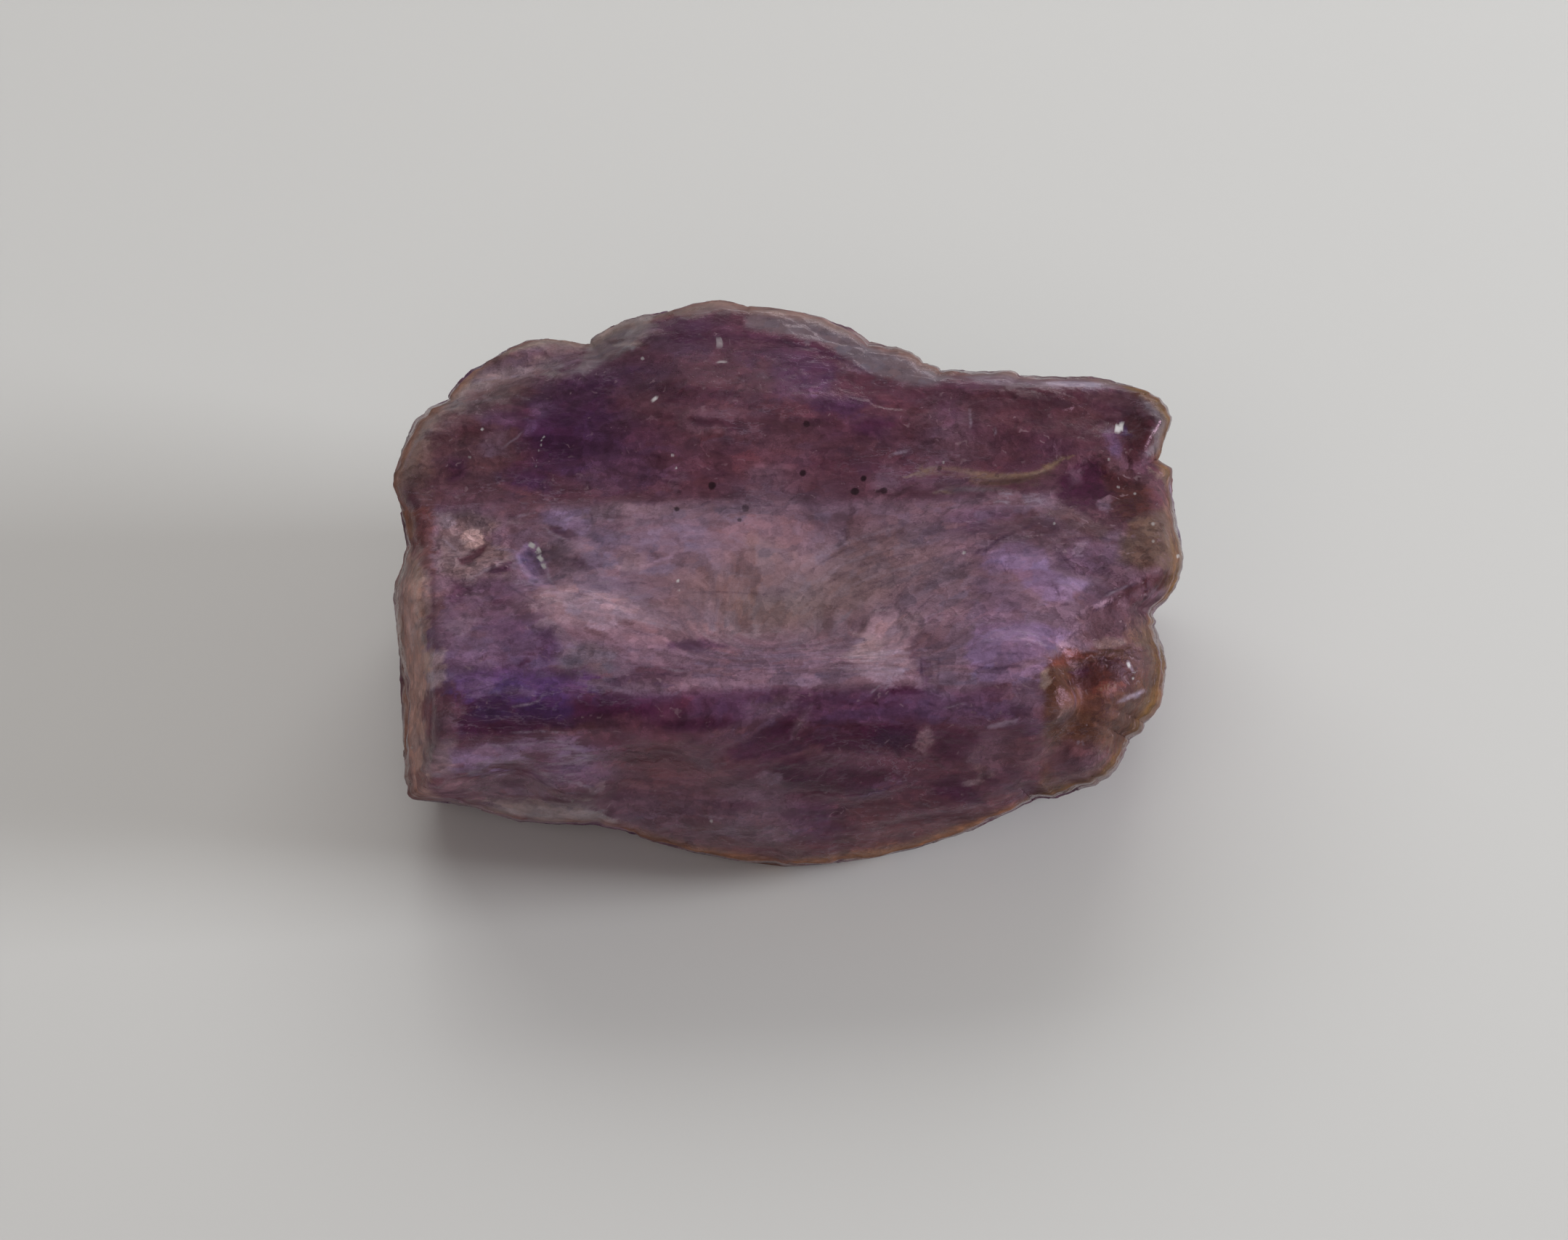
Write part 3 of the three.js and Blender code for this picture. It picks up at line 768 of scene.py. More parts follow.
# The clear window face under it
WINDOW_ZONE = (
    Patch((560, 702, 700, 694, 880, 696, 1060, 690, 1240, 690, 1440, 678, 1480, 708, 1532, 730, 1576, 722, 1624, 730,
        1600, 860, 1450, 930, 1300, 958, 1100, 952, 900, 956, 700, 950, 560, 940), Tint.MAUVE, 1, 10),
    Patch((548, 704, 592, 696, 603, 708, 596, 735, 600, 768, 602, 796, 590, 796, 576, 772, 562, 748),
        Tint.RUST, 0.7, 8),
    Stroke((594, 790, 596, 850, 592, 900), 6, Tint.BROWN_PLUM),
    Dab((606, 834), (9, 14), Tint.RUST, 0.5),
    Patch((603, 706, 640, 700, 684, 714, 668, 745, 704, 758, 702, 798, 650, 802, 610, 794, 602, 750),
        Tint.BEIGE, 0.9, 8),
    Patch((632, 742, 640, 730, 654, 727, 665, 735, 667, 748, 655, 757, 640, 756), Tint.PALE_ROSE, 0.9, 3, 0.1),
    Patch((606, 710, 616, 704, 628, 714, 633, 734, 623, 739, 612, 725), Tint.PALE_PINK, 0.8, 3),
    Patch((634, 768, 650, 760, 672, 752, 666, 768, 650, 778, 638, 777), Tint.DARK_RED, 0.95, 3, 0.2),
    Stroke((642, 804, 664, 790, 690, 774), 7, Tint.PALE_PINK, 0.7, 0.2),
    Dab((704, 718), (14, 6), Tint.PALE_PINK, 0.5),
    Patch((672, 792, 684, 778, 702, 772, 706, 784, 690, 790), Tint.DARK_PLUM, 0.9, 3),
    Patch((612, 814, 640, 798, 700, 794, 718, 812, 706, 842, 670, 850, 620, 850, 602, 832), Tint.DARK_PLUM, 0.5, 6),
    Patch((618, 816, 636, 804, 650, 812, 640, 826, 622, 830), Tint.DARK_PLUM, 0.7, 4),
    Patch((710, 764, 724, 748, 736, 746, 750, 770, 760, 800, 770, 818, 750, 812, 730, 800, 716, 784),
        Tint.PALE_LILAC, 0.95, 3, 0.1),
    Patch((714, 764, 728, 754, 744, 774, 753, 796, 736, 794, 719, 778), Tint.SLATE, 0.75, 3, 0.1),
    Patch((742, 702, 812, 702, 812, 724, 798, 740, 772, 724, 752, 713), Tint.PALE_LILAC, 0.9, 4),
    Patch((758, 722, 776, 727, 792, 735, 802, 746, 784, 742, 764, 732), Tint.DARK_PLUM, 0.8, 3),
    Dab((808, 776), (16, 12), Tint.VIOLET_PLUM, 0.75),
    Dab((870, 712), (70, 10), Tint.GREEN_GREY, 0.7),
    Dab((980, 705), (90, 16), Tint.GREEN_GREY, 0.5),
    Patch((846, 766, 862, 758, 884, 770, 890, 784, 872, 792, 850, 784), Tint.PALE_ROSE, 0.6, 10, 0.7),
    Dab((826, 745), (24, 20), Tint.GREY_VIOLET, 0.5),
    Dab((800, 800), (50, 16), Tint.LIGHT_MAUVE, 0.7),
    Dab((910, 756), (90, 44), Tint.LIGHT_MAUVE, 0.75),
    Dab((800, 770), (50, 40), Tint.GREEN_GREY, 0.4),
    Dab((1050, 748), (76, 52), Tint.ROSE, 0.95),
    Dab((1048, 758), (30, 18), Tint.PALE_PINK, 0.35),
    Dab((985, 815), (60, 26), Tint.ROSE),
    Patch((732, 824, 762, 816, 805, 815, 850, 828, 905, 846, 952, 864, 900, 862, 850, 868, 800, 862, 764, 850,
        744, 840), Tint.PINK_LILAC, 0.85, 12, 0.7),
    Dab((960, 872), (90, 12), Tint.ROSE, loose=0.8),
    Dab((830, 812), (60, 8), Tint.LIGHT_MAUVE, loose=0.8),
    Dab((885, 872), (66, 14), Tint.ROSE, 0.75),
    Patch((918, 886, 960, 880, 1002, 888, 992, 895, 950, 894, 926, 893), Tint.VIOLET_PLUM, 0.8, 4),
    Patch((836, 936, 850, 918, 870, 911, 906, 915, 954, 922, 936, 928, 926, 932, 942, 939, 870, 941),
        Tint.DARK_PLUM, 0.55, 7, 0.6),
    Dab((1060, 850), (60, 30), Tint.BEIGE, 0.5),
    Dab((1090, 840), (60, 20), Tint.BEIGE, 0.4),
    Dab((1050, 915), (60, 20), Tint.BROWN_PLUM, 0.4),
    Patch((590, 872, 604, 858, 640, 850, 702, 852, 745, 858, 776, 870, 790, 900, 764, 940, 640, 952, 590, 948),
        Tint.GREY_VIOLET, 0.8, 14, 0.7),
    Dab((650, 888), (50, 30), Tint.GREY_MAUVE, 0.5),
    Patch((603, 862, 636, 850, 656, 852, 642, 878, 624, 876), Tint.LIGHT_MAUVE, 0.7, 4),
    Dab((660, 905), (24, 10), Tint.LILAC, 0.5),
    Patch((744, 872, 766, 862, 778, 886, 764, 910, 744, 900), Tint.VIOLET_PLUM, 0.7, 6),
    Dab((731, 912), (8, 6), Tint.DEEP_PLUM, 0.7),
    Patch((776, 906, 790, 890, 816, 884, 852, 898, 832, 926, 800, 937, 784, 926), Tint.GREEN_GREY, 0.9, 6),
    Dab((1165, 715), (40, 16), Tint.BROWN_PLUM, 0.5),
    Dab((1220, 770), (90, 40), Tint.BEIGE, 0.5),
    Dab((1150, 820), (70, 26), Tint.BEIGE, 0.4),
    Patch((1200, 862, 1240, 850, 1264, 862, 1256, 880, 1262, 905, 1240, 936, 1180, 932, 1172, 900, 1188, 880),
        Tint.PINK_LILAC, 0.8, 16, 0.7),
    Dab((1190, 895), (24, 16), Tint.PALE_PINK, 0.75),
    Patch((1256, 882, 1274, 866, 1300, 858, 1332, 870, 1336, 900, 1312, 952, 1282, 952, 1262, 922),
        Tint.GREY_MAUVE, 0.85, 6),
    Dab((1270, 925), (6, 22), Tint.VIOLET_PLUM),
    Dab((1296, 900), (26, 34), Tint.MAUVE),
    Dab((1300, 806), (50, 34), Tint.GREEN_GREY, 0.5),
    Dab((1360, 716), (60, 16), Tint.VIOLET_PLUM, 0.7),
    Patch((1352, 790, 1364, 760, 1384, 745, 1412, 741, 1436, 752, 1452, 775, 1470, 790, 1502, 800, 1492, 816,
        1470, 828, 1440, 830, 1420, 818, 1400, 792, 1376, 786), Tint.LILAC, 0.85),
    Patch((1400, 750, 1430, 756, 1450, 780, 1430, 786, 1404, 776), Tint.PALE_LILAC, 0.5, 6),
    Patch((1450, 800, 1470, 796, 1494, 804, 1486, 818, 1460, 826), Tint.PALE_LILAC, 0.8, 4),
    Dab((1362, 815), (24, 34), Tint.GREY_MAUVE, 0.7),
    Patch((1412, 729, 1440, 717, 1466, 725, 1452, 736, 1426, 741), Tint.SMOKY_VIOLET, 0.9, 4),
    Stroke((1345, 770, 1374, 742, 1404, 728, 1432, 720), 4, Tint.SMOKY_VIOLET),
    Stroke((1456, 744, 1500, 737, 1552, 746), 5, Tint.BROWN_PLUM, 0.8),
    Patch((1442, 750, 1500, 744, 1540, 756, 1534, 790, 1500, 796, 1460, 778), Tint.SMOKY_VIOLET, 0.7, 8),
    Patch((1477, 753, 1492, 750, 1491, 765, 1480, 765), Tint.LIGHT_MAUVE, 0.9, 2),
    Patch((1556, 716, 1602, 698, 1622, 742, 1626, 782, 1600, 790, 1570, 790, 1540, 770), Tint.OLIVE, 0.95, 8),
    Dab((1604, 722), (9, 24), Tint.BEIGE, 0.2),
    Patch((1446, 700, 1476, 701, 1502, 714, 1534, 728, 1526, 739, 1500, 736, 1468, 722, 1450, 709),
        Tint.DUSTY_BEIGE, 0.8, 4),
    Patch((1500, 800, 1544, 812, 1500, 834, 1478, 830), Tint.SMOKY_VIOLET, 0.5),
    Patch((1540, 815, 1574, 800, 1602, 787, 1616, 789, 1604, 808, 1572, 819, 1552, 822), Tint.LOBE_RED, 0.95, 3),
    Patch((1476, 852, 1520, 832, 1560, 823, 1608, 815, 1598, 836, 1570, 845, 1546, 862, 1498, 869),
        Tint.SMOKY_BROWN, 0.7),
    Patch((1478, 878, 1500, 858, 1548, 846, 1592, 842, 1590, 872, 1560, 884, 1510, 880), Tint.SMOKY_BROWN, 0.9, 6),
    Stroke((1536, 822, 1572, 810, 1612, 796), 9, Tint.LOBE_RED, 0.9, 0.2),
    Patch((1344, 862, 1420, 855, 1472, 870, 1456, 890, 1440, 905, 1400, 916, 1340, 920, 1334, 890), Tint.LILAC, 0.95),
    Patch((1340, 922, 1400, 926, 1440, 912, 1450, 924, 1400, 940, 1350, 942), Tint.LILAC, 0.8),
    Stroke((1342, 919, 1380, 921, 1408, 918), 4, Tint.SMOKY_VIOLET, 0.75, 0.2),
    Dab((1440, 726), (90, 30), Tint.SMOKY_BROWN, 0.7),
    Dab((1372, 880), (34, 70), Tint.LILAC, 0.4),
    Dab((1550, 862), (40, 74), Tint.DARK_RED, 0.75),
    Dab((740, 932), (60, 16), Tint.DEEP_VIOLET, 0.4),
    Dab((712, 698), (44, 18), Tint.BROWN_PLUM, 0.85),
    Dab((704, 830), (40, 44), Tint.VIOLET_PLUM, 0.5),
    Dab((1070, 820), (150, 56), Tint.TAN, 0.4),
    Dab((1075, 918), (60, 30), Tint.LIGHT_MAUVE, 0.4),
)

# The steep front face
FRONT_ZONE = (
    Patch((582, 956, 606, 950, 622, 985, 616, 1012, 590, 1012), Tint.BROWN_PLUM, 0.95, 4),
    Patch((580, 1020, 632, 1016, 634, 1062, 590, 1072), Tint.PALE_PINK, 0.7, 8),
    Patch((588, 900, 610, 896, 612, 946, 590, 949), Tint.PALE_PINK, 0.95, 4, 0.2),
    Dab((618, 990), (16, 20), Tint.GREY_MAUVE, 0.5),
    Dab((700, 1002), (60, 7), Tint.GREY_VIOLET),
    Dab((640, 1088), (60, 18), Tint.ROSE),
    Patch((632, 934, 690, 926, 790, 930, 826, 946, 800, 968, 700, 970, 630, 972), Tint.INDIGO, 0.85, 10, 0.6),
    Patch((640, 968, 700, 966, 790, 968, 836, 960, 836, 998, 780, 1004, 690, 1002, 634, 1014),
        Tint.DEEP_VIOLET, 0.85, 6),
    Dab((668, 950), (26, 12), Tint.LILAC, 0.5),
    Patch((646, 984, 656, 964, 672, 958, 702, 962, 700, 986, 662, 989), Tint.BLUE_PLUM, 0.7, 4),
    Patch((704, 986, 714, 975, 742, 965, 752, 954, 776, 958, 792, 966, 786, 982, 770, 992, 722, 991),
        Tint.BLUE_VIOLET, 0.6, 6, 0.3),
    Patch((688, 943, 720, 944, 746, 950, 736, 958, 700, 956), Tint.GREY_VIOLET, 0.85, 3, 0.15),
    Patch((780, 950, 900, 954, 1100, 948, 1290, 950, 1290, 994, 1100, 998, 900, 990, 780, 970),
        Tint.VIOLET_PLUM, 0.75, 8),
    Patch((788, 964, 836, 962, 900, 964, 920, 1000, 830, 1002, 786, 988), Tint.DARK_PLUM, 0.85, 8),
    Dab((960, 1000), (90, 9), Tint.DARK_PLUM, 0.85),
    Dab((930, 976), (26, 14), Tint.WINE),
    Dab((860, 980), (30, 10), Tint.DEEP_PLUM, 0.5),
    Dab((1060, 976), (34, 12), Tint.GREY_MAUVE, 0.5),
    Patch((640, 996, 700, 994, 760, 1000, 758, 1012, 640, 1014), Tint.DARK_PLUM, 0.8),
    Dab((780, 1010), (50, 7), Tint.BROWN_PLUM, 0.8),
    Patch((634, 1026, 700, 1022, 760, 1018, 804, 1020, 832, 1030, 800, 1041, 742, 1042, 700, 1052, 642, 1062,
        630, 1046), Tint.PALE_LILAC, 0.8, 9, 0.8),
    Stroke((640, 1062, 682, 1068, 722, 1062), 4, Tint.GREEN_GREY, 0.75),
    Patch((740, 1058, 780, 1052, 822, 1054, 820, 1066, 770, 1067), Tint.LILAC, 0.35, 3),
    Patch((650, 1078, 720, 1074, 800, 1076, 830, 1088, 700, 1098, 656, 1094), Tint.GREY_MAUVE, 0.7, 8, 0.7),
    Patch((799, 1089, 812, 1078, 825, 1075, 826, 1091, 815, 1087, 806, 1094), Tint.PALE_PINK, 0.5, 4, 0.5),
    Dab((820, 1045), (14, 20), Tint.BROWN_PLUM),
    Patch((648, 1107, 700, 1107, 760, 1105, 832, 1108, 846, 1130, 800, 1137, 750, 1136, 690, 1128),
        # Painted pale sheen along the lower ledge's top edge
        Tint.PALE_SHEEN, 0.75, 9, 0.6),
    Patch((846, 1060, 880, 1026, 950, 1018, 1000, 1050, 1012, 1090, 940, 1112, 868, 1102),
        Tint.BROWN_PLUM, 0.8, 22, 0.8),
    Dab((925, 1060), (60, 24), Tint.RED_BROWN),
    Dab((880, 1022), (60, 20), Tint.WINE, 0.7),
    Dab((935, 1060), (70, 34), Tint.RED_BROWN, 0.7),
    Dab((862, 1066), (20, 7), Tint.DARK_PLUM),
    Patch((948, 1048, 984, 1010, 1030, 988, 1076, 964, 1102, 948, 1102, 968, 1060, 1000, 1020, 1016, 990, 1040,
        965, 1062), Tint.GREY_MAUVE, 0.35, 9),
    Patch((998, 1036, 1030, 1015, 1062, 1002, 1096, 984, 1104, 1040, 1060, 1046, 1020, 1046), Tint.DARK_PLUM, 0.9, 4),
    Patch((1068, 1056, 1084, 1045, 1112, 1045, 1112, 1090, 1082, 1091, 1070, 1076), Tint.DEEP_PLUM, 0.8, 4),
    Patch((1044, 1071, 1060, 1060, 1073, 1065, 1073, 1080, 1055, 1083), Tint.GREY_MAUVE, 0.85, 3),
    Dab((1040, 1118), (56, 34), Tint.GREY_MAUVE, 0.9),
    Dab((1008, 1112), (18, 8), Tint.DARK_PLUM),
    Dab((905, 1123), (14, 4), Tint.LIGHT_MAUVE),
    Dab((1060, 1144), (70, 16), Tint.MAUVE, 0.5),
    Stroke((850, 1130, 950, 1156, 1050, 1172, 1160, 1168, 1300, 1132, 1400, 1094), 16, Tint.RED_BROWN, 0.75),
    Patch((1214, 953, 1250, 947, 1276, 951, 1260, 959, 1226, 959), Tint.DEEP_PLUM, 0.8, 3),
    Stroke((1090, 1018, 1104, 988, 1118, 970), 7, Tint.GREY_MAUVE, 0.75, 0.15),
    Dab((1200, 980), (110, 14), Tint.VIOLET_PLUM, 0.8),
    Stroke((1160, 972, 1220, 970, 1290, 972), 3, Tint.DARK_PLUM),
    Dab((1160, 1020), (60, 20), Tint.DEEP_PLUM, 0.9),
    Patch((1178, 1002, 1220, 996, 1264, 1000, 1268, 1030, 1240, 1040, 1200, 1026), Tint.DEEP_PLUM, 1),
    Dab((1230, 1014), (30, 12), Tint.BLUE_BLACK),
    Patch((1286, 1004, 1350, 1008, 1342, 1046, 1286, 1046), Tint.DEEP_PLUM, 0.7, 8),
    Patch((1264, 1037, 1270, 1015, 1278, 1002, 1284, 1005, 1281, 1025, 1271, 1043), Tint.PALE_PINK, 0.35, 4, 0.35),
    Stroke((1084, 1042, 1140, 1036, 1220, 1042), 6, Tint.BROWN_PLUM),
    Patch((1080, 1060, 1130, 1050, 1200, 1056, 1242, 1066, 1200, 1091, 1120, 1096, 1080, 1080),
        Tint.DEEP_PLUM, 0.75, 8),
    Stroke((1180, 1094, 1206, 1086, 1236, 1074), 4, Tint.VIOLET_PLUM, 0.8),
    Dab((1120, 1130), (50, 24), Tint.VIOLET_PLUM),
    Dab((1215, 1125), (60, 26), Tint.RED_BROWN),
    Patch((1284, 1082, 1310, 1071, 1346, 1080, 1352, 1110, 1320, 1106, 1290, 1096), Tint.DARK_PLUM, 0.8, 6),
    Dab((1344, 1080), (10, 4), Tint.PALE_PINK),
    Stroke((1352, 1030, 1350, 1050, 1356, 1080), 6, Tint.BEIGE, 0.55),
    Patch((1384, 978, 1396, 970, 1414, 970, 1426, 980, 1406, 986, 1388, 985), Tint.DEEP_PLUM, 0.85, 3),
    Patch((1356, 1001, 1380, 994, 1402, 989, 1404, 995, 1380, 1003, 1360, 1005), Tint.PALE_VEIL_AND_HIGHLIGHT, 0.4, 2, 0.15),
    Dab((1420, 1006), (16, 12), Tint.DEEP_VIOLET),
    Dab((1390, 1045), (44, 30), Tint.SMOKY_BROWN, 0.7),
    Dab((1380, 1070), (16, 14), Tint.DARK_PLUM, 0.4),
    Dab((920, 1112), (70, 42), Tint.MAUVE, 0.55),
    Dab((900, 1056), (60, 30), Tint.RED_BROWN, 0.5),
    Dab((856, 1008), (44, 20), Tint.BROWN_PLUM, 0.5),
    Dab((790, 1062), (50, 20), Tint.LILAC, 0.45),
    Dab((1320, 972), (70, 22), Tint.GREY_VIOLET, 0.65),
    Dab((1430, 962), (40, 30), Tint.LIGHT_MAUVE, 0.4),
    Dab((1360, 1040), (24, 24), Tint.MAUVE, 0.4),
)

# The stained lobe at the lower right, and the pale left end, its beige painted lighter for the light that shines
# through it
END_ZONES = (
    Patch((1440, 920, 1480, 890, 1560, 884, 1594, 846, 1610, 910, 1600, 965, 1560, 1020, 1530, 1075, 1430, 1104,
        1436, 1000), Tint.LOBE_BROWN, 0.95, 8),
    Patch((1556, 852, 1590, 844, 1592, 870, 1602, 890, 1586, 900, 1560, 890, 1545, 872), Tint.OLIVE, 0.9),
    Patch((1474, 946, 1480, 926, 1500, 912, 1540, 900, 1552, 915, 1562, 936, 1556, 956, 1530, 956, 1500, 956),
        Tint.LOBE_RED, 0.85, 4),
    Dab((1488, 928), (14, 8), Tint.DEEP_PLUM, 0.7),
    Patch((1504, 951, 1520, 942, 1546, 938, 1549, 945, 1530, 955, 1510, 959), Tint.RUST_RED, 0.9, 3),
    Patch((1448, 906, 1470, 896, 1498, 891, 1512, 899, 1490, 912, 1460, 919, 1444, 919), Tint.RUST_RED, 0.9),
    Patch((1502, 883, 1520, 877, 1546, 878, 1553, 885, 1530, 892, 1508, 891), Tint.TAN, 0.65, 3, 0.15),
    Patch((1556, 892, 1590, 890, 1600, 930, 1580, 946, 1560, 926), Tint.SMOKY_BROWN, 0.4),
    # A painted highlight: the pale strip where the lobe catches the light
    Patch((1535, 969, 1550, 959, 1571, 950, 1578, 951, 1562, 962, 1543, 969), Tint.PALE_VEIL_AND_HIGHLIGHT, 0.6, 2, 0.1),
    Stroke((1540, 975, 1574, 972, 1590, 960), 7, Tint.OLIVE),
    Dab((1462, 984), (18, 12), Tint.BEIGE, 0.25),
    Dab((1500, 968), (46, 13), Tint.RUST, 0.45),
    Patch((1435, 926, 1444, 920, 1447, 940, 1440, 951, 1433, 946), Tint.TAN, 0.85, 2, 0.1),
    Dab((1480, 1050), (56, 26), Tint.BROWN_PLUM, 0.8),
    # The left end's beige, painted lighter for the light that shines through the thin end
    Patch((548, 800, 562, 756, 578, 776, 590, 800, 588, 900, 586, 1000, 588, 1070, 600, 1100, 566, 1098, 556, 1000),
        Tint.END_BEIGE, 0.95, 6),
    Stroke((584, 790, 584, 850, 584, 890), 6, Tint.BEIGE, 0.9),
    Stroke((586, 960, 588, 985, 590, 1010), 9, Tint.RED_BROWN, 0.8),
    Dab((568, 778), (12, 20), Tint.TAN, 0.8),
    Dab((566, 860), (7, 40), Tint.PALE_ROSE, 0.35),
    Dab((590, 1035), (16, 20), Tint.BEIGE, 0.8),
    Dab((592, 1080), (20, 14), Tint.RED_BROWN),
)

# The thin edge, painted as light: a pale sheen along the top, and a glow through the thin edges, gold at the ends and
# rust brown below
RIMS = (
    Stroke((544, 700, 544, 654, 556, 618, 572, 582, 622, 542, 660, 506), 8, Tint.RIM_BROWN, 0.7, 0.15),
    Stroke((690, 488, 752, 467, 812, 473, 860, 443, 924, 430), 7, Tint.RIM_PALE, 0.8, 0.15),
    Stroke((900, 434, 993, 416, 1104, 432, 1190, 466), 7, Tint.RIM_PALE, 0.35, 0.15),
    Stroke((1170, 456, 1236, 480, 1290, 508, 1380, 511, 1503, 518, 1580, 538), 7, Tint.RIM_PALE, 0.55, 0.15),
    Stroke((1540, 526, 1596, 549, 1612, 580, 1598, 632, 1613, 660, 1618, 715), 9, Tint.RIM_GOLD, 0.7, 0.15),
    Stroke((1613, 680, 1620, 724, 1628, 772, 1608, 825, 1589, 848), 11, Tint.RIM_GOLD, 0.85, 0.15),
    Stroke((1596, 836, 1590, 852, 1604, 910, 1598, 962, 1570, 1008, 1546, 1042), 14, Tint.RIM_GOLD, 0.9, 0.15),
    Stroke((1575, 1000, 1540, 1052, 1508, 1081, 1454, 1099, 1400, 1112), 12, Tint.RIM_GOLD, 0.85, 0.15),
    Stroke((1440, 1100, 1370, 1127, 1257, 1168, 1139, 1188, 1080, 1192), 10, Tint.RUST_AND_EDGE_GLOW, 0.9, 0.15),
    Stroke((1150, 1186, 1080, 1192, 957, 1173, 859, 1143), 8, Tint.RUST_AND_EDGE_GLOW, 0.7, 0.15),
    Stroke((545, 760, 543, 822, 552, 909, 555, 998, 560, 1080), 7, Tint.RIM_BROWN, 0.6, 0.15),
    # Painted pale sheen on the upper left rim
    Stroke((800, 478, 822, 466, 850, 450), 5, Tint.PALE_SHEEN, 0.6, 0.1),
    Stroke((846, 452, 872, 442, 900, 436), 6, Tint.PALE_SHEEN, 0.9, 0.1),
    Stroke((554, 696, 562, 716, 562, 744), 9, Tint.RUST_AND_EDGE_GLOW, 0.6, 0.15),
    Stroke((1486, 884, 1524, 866, 1580, 852), 16, Tint.SMOKY_BROWN, 0.6, 0.2),
)

# Clearer, calmer parts of the window
QUIET = (
    Dab((980, 800), (230, 100), Tint.MAUVE, 1),
    Dab((800, 840), (70, 30), Tint.MAUVE, 0.8),
    Dab((1215, 890), (60, 40), Tint.MAUVE, 0.8),
    Dab((1410, 785), (56, 40), Tint.MAUVE, 1),
    Dab((1400, 890), (64, 36), Tint.MAUVE, 0.9),
    Dab((960, 1050), (120, 60), Tint.MAUVE, 0.5),
    Dab((572, 940), (26, 170), Tint.MAUVE, 1),
    Dab((740, 1122), (110, 20), Tint.MAUVE, 1),
)

# Painted sheen: satin bands along the upper rim where it catches the light, and a painted highlight line at its
# right; the surface under them is kept calm
SATIN_SHEEN = (
    Patch((812, 476, 850, 446, 890, 436, 902, 450, 880, 462, 872, 476, 850, 488, 822, 505, 802, 518, 798, 505),
        Tint.SATIN_SHEEN, 0.85, 5, 0.15),
    Stroke((842, 476, 862, 475, 886, 474), 3, Tint.PALE_SHEEN, 0.8, 0.1),
    Stroke((862, 460, 884, 448, 896, 440), 5, Tint.PALE_SHEEN, 0.6, 0.15),
    Patch((924, 432, 951, 421, 985, 415, 1036, 423, 1082, 427, 1082, 437, 1030, 433, 980, 432, 950, 440),
        Tint.BEIGE, 0.85, 4, 0.15),
    Patch((1024, 434, 1060, 434, 1100, 434, 1140, 444, 1170, 456, 1188, 468, 1202, 476, 1232, 483, 1266, 501,
        1302, 512, 1312, 520, 1282, 529, 1250, 530, 1215, 519, 1190, 506, 1160, 489, 1130, 475, 1090, 463, 1058, 457,
        1028, 450), Tint.SATIN_SHEEN, 0.8, 7, 0.25),
    Patch((1330, 513, 1380, 511, 1420, 519, 1500, 519, 1548, 530, 1520, 534, 1430, 534, 1340, 524),
        Tint.GREEN_GREY, 0.7, 4, 0.15),
    # A painted highlight line along the upper right rim
    Patch((1427, 527, 1460, 525, 1500, 526, 1516, 528, 1517, 532, 1470, 532), Tint.PALE_VEIL_AND_HIGHLIGHT, 0.95, 1.5, 0.05),
)
